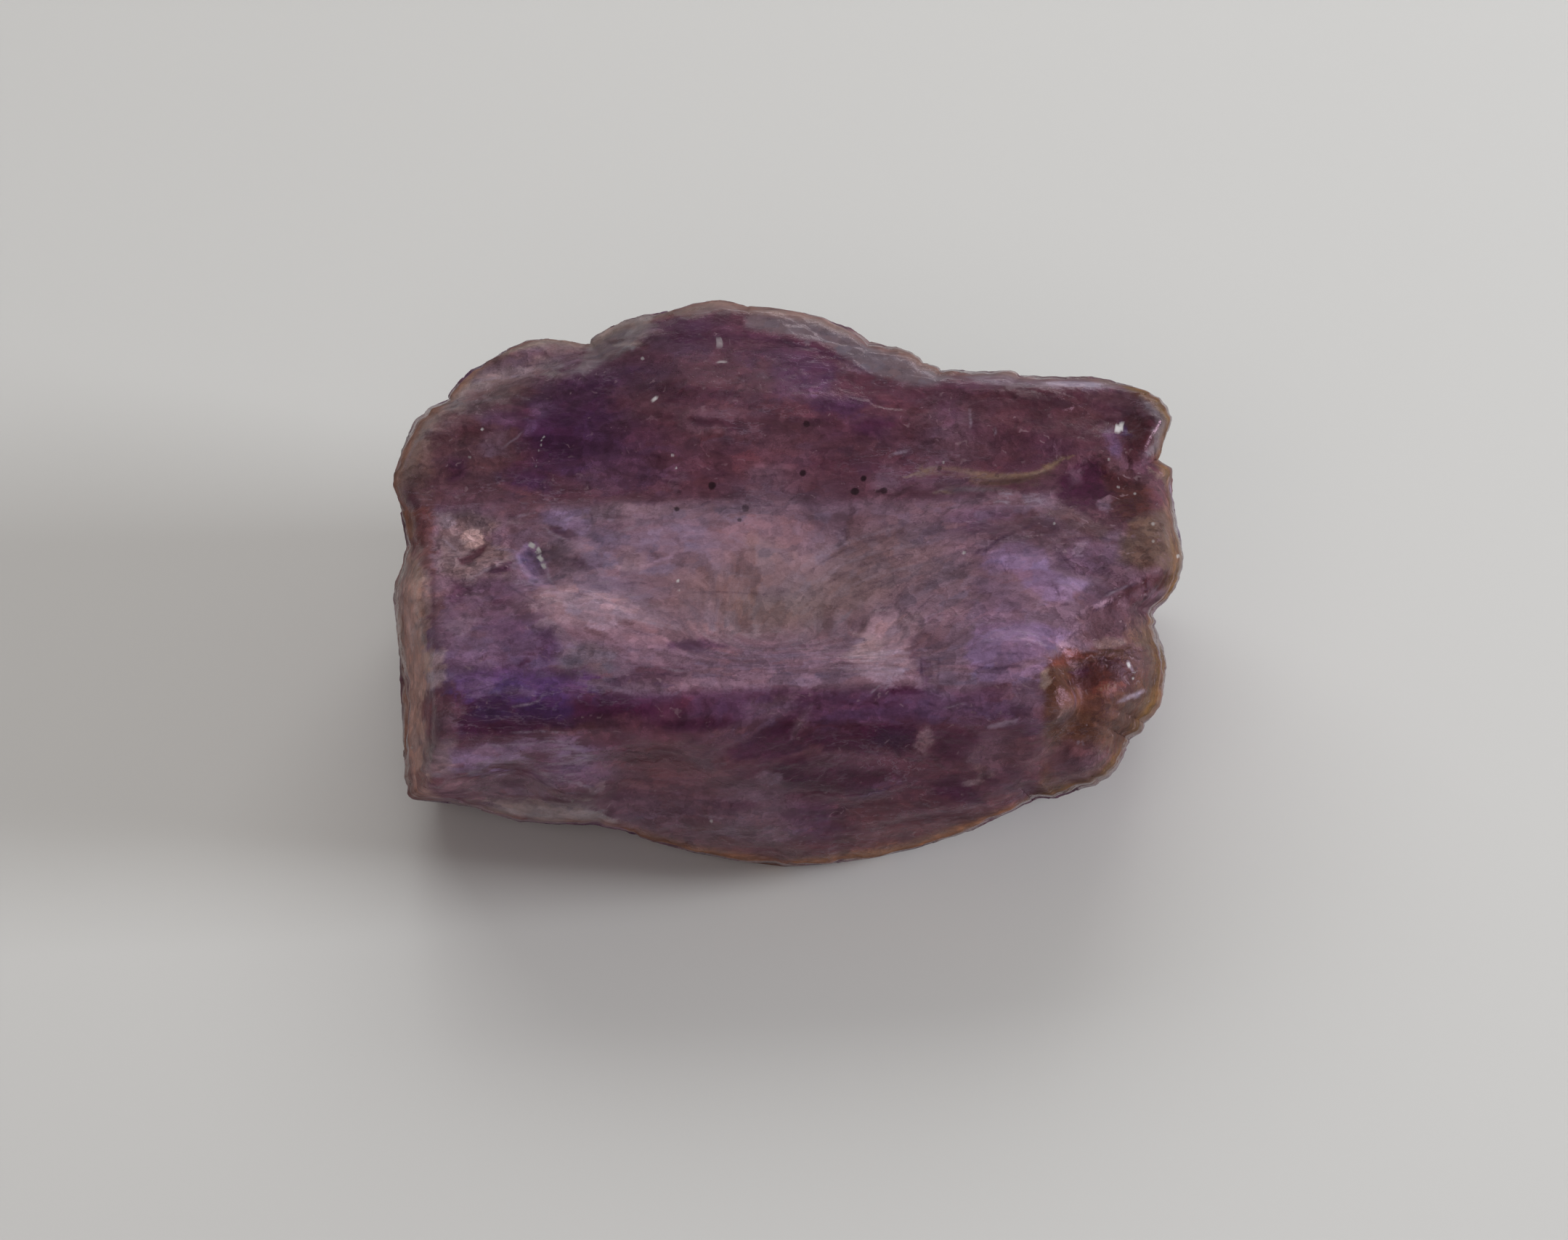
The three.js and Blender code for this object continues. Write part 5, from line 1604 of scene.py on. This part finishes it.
        # A painted glow of light through the thin edges: a brown band just inside the outline, then the rim strokes
        inside = OUTLINE.inside(seen) + 3.0 * Layer.RIM_WANDER.noise(places)
        shown = laid_over(shown, Tint.RIM_BROWN, 0.4 * smooth((16.0 - inside) / 12.0))
        for mark in RIMS:
            shown = laid_over(shown, mark.tint, mark.cover(seen + mark.loose * wander))
        return shown

    def draw_lines(self, stone: bpy.types.Object, places: np.ndarray, seen: np.ndarray, in_view: np.ndarray) -> None:
        """Stores each kind of fine line, grain and painted glint, as the distance to the nearest one and what it is
        like.

        Args:
            stone: the surface.
            places: its points, in millimetres.
            seen: the same, as pixels.
            in_view: how far the photograph shows each.
        """
        shaken = seen + 1.5 * np.column_stack([Layer.SHAKE_ACROSS.noise(places), Layer.SHAKE_DOWN.noise(places)])
        for ink in INKS:
            threads = np.tile(np.array([THREAD_REACH, 1.0, 0.0]), (len(places), 1))
            for mark in ink.marks:
                mark.lay(shaken, threads)
            threads[:, 2] *= smooth(in_view * 2.0 - 0.6)
            self.store(stone, ink.name, threads)

    @staticmethod
    def store(stone: bpy.types.Object, name: str, rows: np.ndarray) -> None:
        """Keeps three values a point with the mesh.

        Args:
            stone: the surface.
            name: what they are kept under.
            rows: the values.
        """
        layer = stone.data.attributes.new(name, "FLOAT_VECTOR", "POINT")
        layer.data.foreach_set("vector", np.ascontiguousarray(rows).ravel())

    def hidden_colours(self, places: np.ndarray) -> np.ndarray:
        """Colours the sides that the photograph doesn't show: plum and violet, stained at the ends.

        Args:
            places: the surface's points, in millimetres.

        Returns:
            One colour a point.
        """
        ends = smooth((np.abs(places[:, 0]) - 5.4) / 1.6)
        mixes = (
            (Tint.VIOLET_PLUM, 0.5 + 1.2 * Layer.HIDDEN_VIOLET.noise(places)),
            (Tint.LILAC, 1.6 * Layer.HIDDEN_LILAC.noise(places) - 0.25),
            (Tint.RED_BROWN, 1.4 * Layer.HIDDEN_RED.noise(places)),
            (Tint.RUST, 0.5 * ends + Layer.HIDDEN_RUST.noise(places) - 0.2),
            (Tint.BEIGE, 1.2 * Layer.HIDDEN_BEIGE.noise(places) - 0.3),
        )
        colour = np.tile(np.array(Tint.PLUM.light), (len(places), 1))
        for tint, cover in mixes:
            colour = laid_over(colour, tint, smooth(cover))
        return colour

    def flow(self, places: np.ndarray, seen: np.ndarray) -> np.ndarray:
        """Finds how the streaks run.

        Args:
            places: the surface's points, in millimetres.
            seen: the same, as pixels.

        Returns:
            How far each point is along, across and into the streaks, in millimetres.
        """
        upward = self.eye.aim_pixel[1] - seen[:, 1]
        for bend in BENDS:
            upward = upward + bend.lift(seen)
        inward = (places[:, 2] - places[:, 1]) * math.sqrt(0.5)
        return np.column_stack([places[:, 0], upward / self.eye.pixels_per_mm, inward])

    @staticmethod
    def to_metres(stone: bpy.types.Object) -> None:
        """Brings the surface back to its real size, with its place in its mesh."""
        stone.scale = (MM, MM, MM)
        bpy.ops.object.transform_apply(location=False, rotation=False, scale=True)


def laid_over(colours: np.ndarray, tint: Tint, cover: np.ndarray) -> np.ndarray:
    """Lays a tint over colours, by a share for each."""
    share = cover[:, None]
    return colours * (1.0 - share) + np.array(tint.light) * share


class Nodes:
    """Adds nodes to one tree and joins them."""

    def __init__(self, tree: bpy.types.NodeTree) -> None:
        self.tree = tree

    def add(self, kind: str, inputs: dict | None = None, **settings: object) -> bpy.types.Node:
        """Adds one node.

        Args:
            kind: the node's type.
            inputs: for each input, by name or number, a plain value or the output that feeds it.
            **settings: the node's own settings.

        Returns:
            The node.
        """
        node = self.tree.nodes.new(kind)
        for name, value in settings.items():
            setattr(node, name, value)
        for key, value in (inputs or {}).items():
            if isinstance(value, Socket):
                self.tree.links.new(value, node.inputs[key])
            else:
                node.inputs[key].default_value = value
        return node

    def math(self, operation: str, *values: Socket | float, clamp: bool = False) -> Socket:
        """Adds a sum and gives its result."""
        inputs = dict(enumerate(values))
        return self.add("ShaderNodeMath", inputs, operation=operation, use_clamp=clamp).outputs[0]

    def times(self, first: Socket, second: Socket | float) -> Socket:
        """Multiplies two values."""
        return self.math("MULTIPLY", first, second)

    def plus(self, first: Socket, second: Socket | float) -> Socket:
        """Adds two values up."""
        return self.math("ADD", first, second)

    def ramp(self, value: Socket, low: float, high: float, start: float = 0.0, end: float = 1.0) -> Socket:
        """Eases a value from start, where it is low, to end, where it is high."""
        inputs = {"Value": value, "From Min": low, "From Max": high, "To Min": start, "To Max": end}
        return self.add("ShaderNodeMapRange", inputs, interpolation_type="SMOOTHSTEP").outputs["Result"]

    def near(self, value: Socket, middle: float, reach: float) -> Socket:
        """Gives 1 where a value meets a middle, and eases it off to 0 at its reach from there."""
        return self.ramp(self.math("ABSOLUTE", self.math("SUBTRACT", value, middle)), reach, 0.0)

    def stretched(self, vector: Socket, scale: Scale) -> Socket:
        """Stretches coordinates along each axis."""
        inputs = {0: vector, 1: scale}
        return self.add("ShaderNodeVectorMath", inputs, operation="MULTIPLY").outputs[0]

    def swell(self, vector: Socket, scale: Scale, detail: float = 2.0, rough: float = 0.5) -> Socket:
        """Reads noise, 0 to 1, from stretched coordinates."""
        inputs = {"Vector": self.stretched(vector, scale), "Scale": 1.0, "Detail": detail, "Roughness": rough}
        return self.add("ShaderNodeTexNoise", inputs).outputs["Fac"]

    def blend(self, share: Socket, under: Socket, over: Socket | Colour, kind: str = "MIX") -> Socket:
        """Lays one colour over another.

        Args:
            share: how much of it.
            under: the lower colour.
            over: the upper one.
            kind: how the two mix.

        Returns:
            The mixed colour.
        """
        node = self.add("ShaderNodeMix", {"Factor": share}, data_type="RGBA", blend_type=kind)
        first, second = (socket for socket in node.inputs if socket.type == "RGBA")
        self.tree.links.new(under, first)
        if isinstance(over, Socket):
            self.tree.links.new(over, second)
        else:
            second.default_value = (*over, 1.0)
        return next(s for s in node.outputs if s.type == "RGBA")

    def kept(self, name: str) -> bpy.types.Node:
        """Reads what the mesh keeps under a name."""
        return self.add("ShaderNodeAttribute", attribute_type="GEOMETRY", attribute_name=name)

    def parts(self, vector: Socket) -> list[Socket]:
        """Takes the three values of a vector apart."""
        return list(self.add("ShaderNodeSeparateXYZ", {0: vector}).outputs)

    def use(self, group: bpy.types.NodeTree, inputs: dict) -> bpy.types.Node:
        """Adds a group and feeds it."""
        return self.add("ShaderNodeGroup", inputs, node_tree=group)

    def give(self, result: bpy.types.Node, outs: dict[str, Socket]) -> bpy.types.NodeTree:
        """Feeds a group's outputs.

        Args:
            result: the node that they are fed to.
            outs: the outputs by name.

        Returns:
            The group.
        """
        for name, socket in outs.items():
            self.tree.links.new(socket, result.inputs[name])
        return self.tree


def new_group(name: str, inputs: dict[str, str], outputs: tuple[str, ...]) -> tuple[Nodes, dict, bpy.types.Node]:
    """Starts a node group.

    Args:
        name: the group's name.
        inputs: its inputs, each with its socket type.
        outputs: its outputs, each a plain number.

    Returns:
        What adds nodes to it, its inputs by name, and the node that its outputs are fed to.
    """
    tree = bpy.data.node_groups.new(name, "ShaderNodeTree")
    for key, kind in inputs.items():
        tree.interface.new_socket(key, in_out="INPUT", socket_type=kind)
    for key in outputs:
        tree.interface.new_socket(key, in_out="OUTPUT", socket_type="NodeSocketFloat")
    nodes = Nodes(tree)
    source = nodes.add("NodeGroupInput")
    return nodes, {key: source.outputs[key] for key in inputs}, nodes.add("NodeGroupOutput")


@dataclass(frozen=True)
class CrystalFinish:
    """How the crystal takes light."""

    transmission: float = 0.5
    ior: float = 1.77
    specular: float = 0.22
    mirrored: Colour = (0.58, 0.32, 0.44)
    absorbed: Colour = (0.62, 0.42, 0.66)
    absorption: float = 200.0
    clear_roughness: float = 0.1
    worn_roughness: float = 0.55
    rim_roughness: float = 0.85
    fine_roughness: float = 0.16
    bump: float = 0.5
    bump_depth: float = 0.04

    def make(self) -> bpy.types.Material:
        """Builds the material.

        Returns:
            The crystal's material.
        """
        material = bpy.data.materials.new("rough_sapphire")
        material.use_nodes = True
        material.node_tree.nodes.clear()
        nodes = Nodes(material.node_tree)
        satin, crumbled, rim = nodes.parts(nodes.kept("masks").outputs["Vector"])
        place = nodes.stretched(nodes.add("ShaderNodeTexCoord").outputs["Object"], (1 / MM, 1 / MM, 1 / MM))
        streaks = nodes.use(self.streaks(), {"Flow": nodes.kept("flow").outputs["Vector"]}).outputs
        chips = nodes.use(self.chips(), {"Place": place}).outputs
        calm = nodes.times(nodes.ramp(crumbled, 0.2, 0.7, 1.0, 0.25), nodes.ramp(satin, 0.0, 1.0, 1.0, 0.4))
        broken = nodes.times(nodes.ramp(crumbled, 0.2, 0.8, 0.5, 0.9), nodes.ramp(satin, 0.0, 1.0, 1.0, 0.5))
        whole = nodes.math("SUBTRACT", 1.0, satin, clamp=True)
        cracks = nodes.times(chips["Cracks"], nodes.times(broken, whole))
        veils = (
            (nodes.times(streaks["Pale"], nodes.times(calm, 0.25)), Tint.PALE_VEIL_AND_HIGHLIGHT),
            (nodes.times(streaks["Dark"], nodes.times(calm, 0.45)), Tint.DARK_PLUM),
            (nodes.times(cracks, 0.4), Tint.DEEP_PLUM),
            (nodes.times(chips["Slivers"], broken), Tint.PALE_PINK),
        )
        colour = self.shaded(nodes, {"streaks": streaks["Shade"], "chips": chips["Shade"]}, calm, broken)
        for share, tint in (*veils, *self.inked(nodes, chips["Fine"])):
            colour = nodes.blend(share, colour, tint.light)
        rough = nodes.ramp(crumbled, 0.1, 0.9, self.clear_roughness, self.worn_roughness)
        rough = nodes.math("MAXIMUM", rough, nodes.times(rim, self.rim_roughness))
        rough = nodes.plus(rough, nodes.times(chips["Fine"], self.fine_roughness))
        height = nodes.plus(nodes.times(streaks["Shade"], calm), nodes.times(chips["Height"], broken))
        bumped = {"Height": height, "Strength": self.bump, "Distance": self.bump_depth * MM}
        glass = nodes.add("ShaderNodeBsdfPrincipled", {
            "Base Color": colour,
            "Roughness": rough,
            "Normal": nodes.add("ShaderNodeBump", bumped).outputs["Normal"],
            "IOR": self.ior,
            "Specular IOR Level": self.specular,
            "Specular Tint": (*self.mirrored, 1.0),
            "Transmission Weight": self.transmission,
        })
        inside = {"Color": (*self.absorbed, 1.0), "Density": self.absorption}
        depth = nodes.add("ShaderNodeVolumeAbsorption", inside)
        nodes.add("ShaderNodeOutputMaterial", {"Surface": glass.outputs[0], "Volume": depth.outputs[0]})
        return material

    @staticmethod
    def shaded(nodes: Nodes, shades: dict[str, Socket], calm: Socket, broken: Socket) -> Socket:
        """Shades the zones' colours.

        Args:
            nodes: the material's nodes.
            shades: the streaks' shade and the chips'.
            calm: how far the streaks show.
            broken: how far the chips show.

        Returns:
            The shaded colour.
        """
        colour = nodes.kept("zone").outputs["Color"]
        colour = nodes.blend(calm, colour, nodes.plus(nodes.times(shades["streaks"], 1.6), 0.2), "MULTIPLY")
        return nodes.blend(broken, colour, nodes.plus(nodes.times(shades["chips"], 2.6), -0.3), "MULTIPLY")

    def inked(self, nodes: Nodes, fray: Socket) -> list[tuple[Socket, Tint]]:
        """Draws the fine lines and grains, and the painted glints.

        Args:
            nodes: the material's nodes.
            fray: the noise that frays the lines.

        Returns:
            Each kind's share and tint, in the order that they are laid.
        """
        pen = self.pen()
        frayed = nodes.ramp(fray, 0.38, 0.6, 0.25, 1.0)
        drawn = []
        for ink in INKS:
            line = {"Line": nodes.kept(ink.name).outputs["Vector"], "Softness": ink.softness}
            cover = nodes.use(pen, line).outputs["Cover"]
            drawn.append((nodes.times(cover, frayed) if ink.frays else cover, ink.tint))
        return drawn

    @staticmethod
    def streaks() -> bpy.types.NodeTree:
        """Makes the fibres that run along the crystal.

        Returns:
            The group of nodes.
        """
        outs = ("Shade", "Pale", "Dark")
        nodes, given, result = new_group("crystal_streaks", {"Flow": "NodeSocketVector"}, outs)
        flow = given["Flow"]
        broad = nodes.swell(flow, (0.6, 2.0, 1.2), 3.0, 0.55)
        fine = nodes.swell(flow, (2.4, 8.0, 5.0), 5.0, 0.78)
        shade = nodes.plus(nodes.times(broad, 0.55), nodes.times(fine, 0.45))
        wisps = nodes.swell(flow, (1.2, 4.5, 3.0), 4.0, 0.62)
        where = nodes.ramp(nodes.swell(flow, (0.5, 1.1, 0.8), 1.0), 0.45, 0.7)
        elsewhere = nodes.math("SUBTRACT", 1.0, where)
        return nodes.give(result, {
            "Shade": shade,
            "Pale": nodes.times(nodes.near(wisps, 0.52, 0.022), where),
            "Dark": nodes.times(nodes.near(fine, 0.4, 0.02), elsewhere),
        })

    @staticmethod
    def chips() -> bpy.types.NodeTree:
        """Makes the small broken grains of the worn and crumbled parts.

        Returns:
            The group of nodes.
        """
        outs = ("Shade", "Fine", "Cracks", "Slivers", "Height")
        nodes, given, result = new_group("crystal_chips", {"Place": "NodeSocketVector"}, outs)
        place = given["Place"]
        bent = nodes.add("ShaderNodeTexNoise", {"Vector": place, "Scale": 3.0, "Detail": 2.0}).outputs["Color"]
        placed = nodes.add("ShaderNodeVectorMath", {0: place, 1: bent}, operation="ADD").outputs[0]
        grains = nodes.add("ShaderNodeTexVoronoi", {"Vector": placed, "Scale": 4.5})
        tone = nodes.parts(grains.outputs["Color"])[0]
        mottle = nodes.swell(place, (8.0, 10.5, 10.5), 4.0, 0.75)
        grit = nodes.swell(place, (26.0, 36.0, 36.0), 2.0, 0.6)
        shade = nodes.plus(nodes.times(tone, 0.25), nodes.times(mottle, 0.3))
        shade = nodes.plus(shade, nodes.times(grit, 0.45))
        height = nodes.plus(nodes.times(grains.outputs["Distance"], 0.5), mottle)
        meshes = {"Vector": nodes.stretched(placed, (1.7, 2.6, 2.6)), "Scale": 1.0}
        net = nodes.add("ShaderNodeTexVoronoi", meshes, feature="DISTANCE_TO_EDGE")
        where = nodes.ramp(nodes.swell(place, (1.1, 1.5, 1.5), 1.0), 0.42, 0.62)
        cracks = nodes.times(nodes.ramp(net.outputs["Distance"], 0.05, 0.005), where)
        shifted = nodes.add("ShaderNodeVectorMath", {0: placed, 1: (7.3, 2.1, 5.9)}, operation="ADD").outputs[0]
        bits = nodes.add("ShaderNodeTexVoronoi", {"Vector": nodes.stretched(shifted, (2.6, 7.5, 7.5)), "Scale": 1.0})
        chosen = nodes.ramp(nodes.parts(bits.outputs["Color"])[1], 0.78, 0.9)
        slivers = nodes.times(chosen, nodes.ramp(bits.outputs["Distance"], 0.34, 0.12, 0.0, 0.5))
        outs = {"Shade": shade, "Fine": mottle, "Cracks": cracks, "Slivers": slivers, "Height": height}
        return nodes.give(result, outs)

    @staticmethod
    def pen() -> bpy.types.NodeTree:
        """Draws a fine line from the distance to it, its half width and its strength.

        Returns:
            The group of nodes.
        """
        taken = {"Line": "NodeSocketVector", "Softness": "NodeSocketFloat"}
        nodes, given, result = new_group("fine_line", taken, ("Cover",))
        distance, width, strength = nodes.parts(given["Line"])
        beyond = nodes.math("SUBTRACT", nodes.math("ABSOLUTE", distance), width)
        edge = nodes.math("DIVIDE", beyond, given["Softness"])
        inside = nodes.ramp(edge, 1.0, -1.0)
        return nodes.give(result, {"Cover": nodes.math("MULTIPLY", inside, strength, clamp=True)})


@dataclass(frozen=True)
class Lamp:
    """A soft light. Its turn is round the stone from its right end, and its rise is above the surface."""

    name: str
    turn: float
    rise: float
    distance: float
    size: tuple[float, float]
    power: float
    tint: Colour = (1.0, 1.0, 1.0)
    reflected: bool = True

    def add(self) -> None:
        """Adds the light, turned to the stone."""
        turn, rise = math.radians(self.turn), math.radians(self.rise)
        away = Vector((math.cos(rise) * math.cos(turn), math.cos(rise) * math.sin(turn), math.sin(rise)))
        bpy.ops.object.light_add(type="AREA", location=away * self.distance * MM)
        lamp = bpy.context.object
        lamp.name = self.name
        lamp.rotation_euler = away.to_track_quat("Z", "Y").to_euler()
        lamp.data.shape = "RECTANGLE"
        lamp.data.size = self.size[0] * MM
        lamp.data.size_y = self.size[1] * MM
        lamp.data.energy = self.power
        lamp.data.color = self.tint
        lamp.visible_glossy = self.reflected


@dataclass(frozen=True)
class Studio:
    """The pale surface with its soft gloss, the lights and the view."""

    eye: Eye
    surface: Colour = (0.6, 0.6, 0.588)
    gloss: float = 0.25
    sky: Colour = (1.0, 0.945, 0.895)
    sky_strength: float = 0.252
    lamps: tuple[Lamp, ...] = (
        Lamp("window", -8.0, 23.0, 150.0, (50.0, 36.0), 0.188, (0.97, 1.0, 1.04)),
        Lamp("back_fill", 100.0, 50.0, 100.0, (120.0, 60.0), 0.044, reflected=False),
        Lamp("front_fill", -104.0, 42.0, 150.0, (120.0, 60.0), 0.039, (1.0, 0.9, 0.87), reflected=False),
        Lamp("far_wall", 75.0, 17.0, 120.0, (80.0, 14.0), 0.012),
    )

    def build(self) -> None:
        """Sets the stone's surroundings."""
        self.lay_surface()
        for lamp in self.lamps:
            lamp.add()
        self.light_sky()
        self.eye.add_camera()
        view = bpy.context.scene.view_settings
        view.view_transform = "Standard"
        view.look = "None"
        view.exposure = 0.0
        view.gamma = 1.0

    def lay_surface(self) -> None:
        """Lays the surface that the stone rests on."""
        bpy.ops.mesh.primitive_plane_add(size=0.8)
        floor = bpy.context.object
        floor.name = "pale_surface"
        material = bpy.data.materials.new("pale_surface")
        material.use_nodes = True
        shader = material.node_tree.nodes["Principled BSDF"]
        shader.inputs["Base Color"].default_value = (*self.surface, 1.0)
        shader.inputs["Roughness"].default_value = self.gloss
        shader.inputs["IOR"].default_value = 1.45
        floor.data.materials.append(material)

    def light_sky(self) -> None:
        """Fills the room with even light."""
        world = bpy.data.worlds.new("room")
        world.use_nodes = True
        nodes = Nodes(world.node_tree)
        world.node_tree.nodes.clear()
        sky = nodes.add("ShaderNodeBackground", {"Color": (*self.sky, 1.0), "Strength": self.sky_strength})
        nodes.add("ShaderNodeOutputWorld", {"Surface": sky.outputs[0]})
        bpy.context.scene.world = world


def main() -> None:
    """Builds the stone and its surroundings."""
    logging.basicConfig(level=logging.INFO, format="%(name)s: %(message)s")
    noise.seed_set(NOISE_SEED)
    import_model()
    eye = Eye()
    stone = Crystal(eye).build()
    stone.data.materials.append(CrystalFinish().make())
    log.info("the crystal has %d points", len(stone.data.vertices))
    studio = Studio(eye)
    studio.build()
    log.info("the surface, %d lights and the camera are in place", len(studio.lamps))


if __name__ == "__main__":
    main()
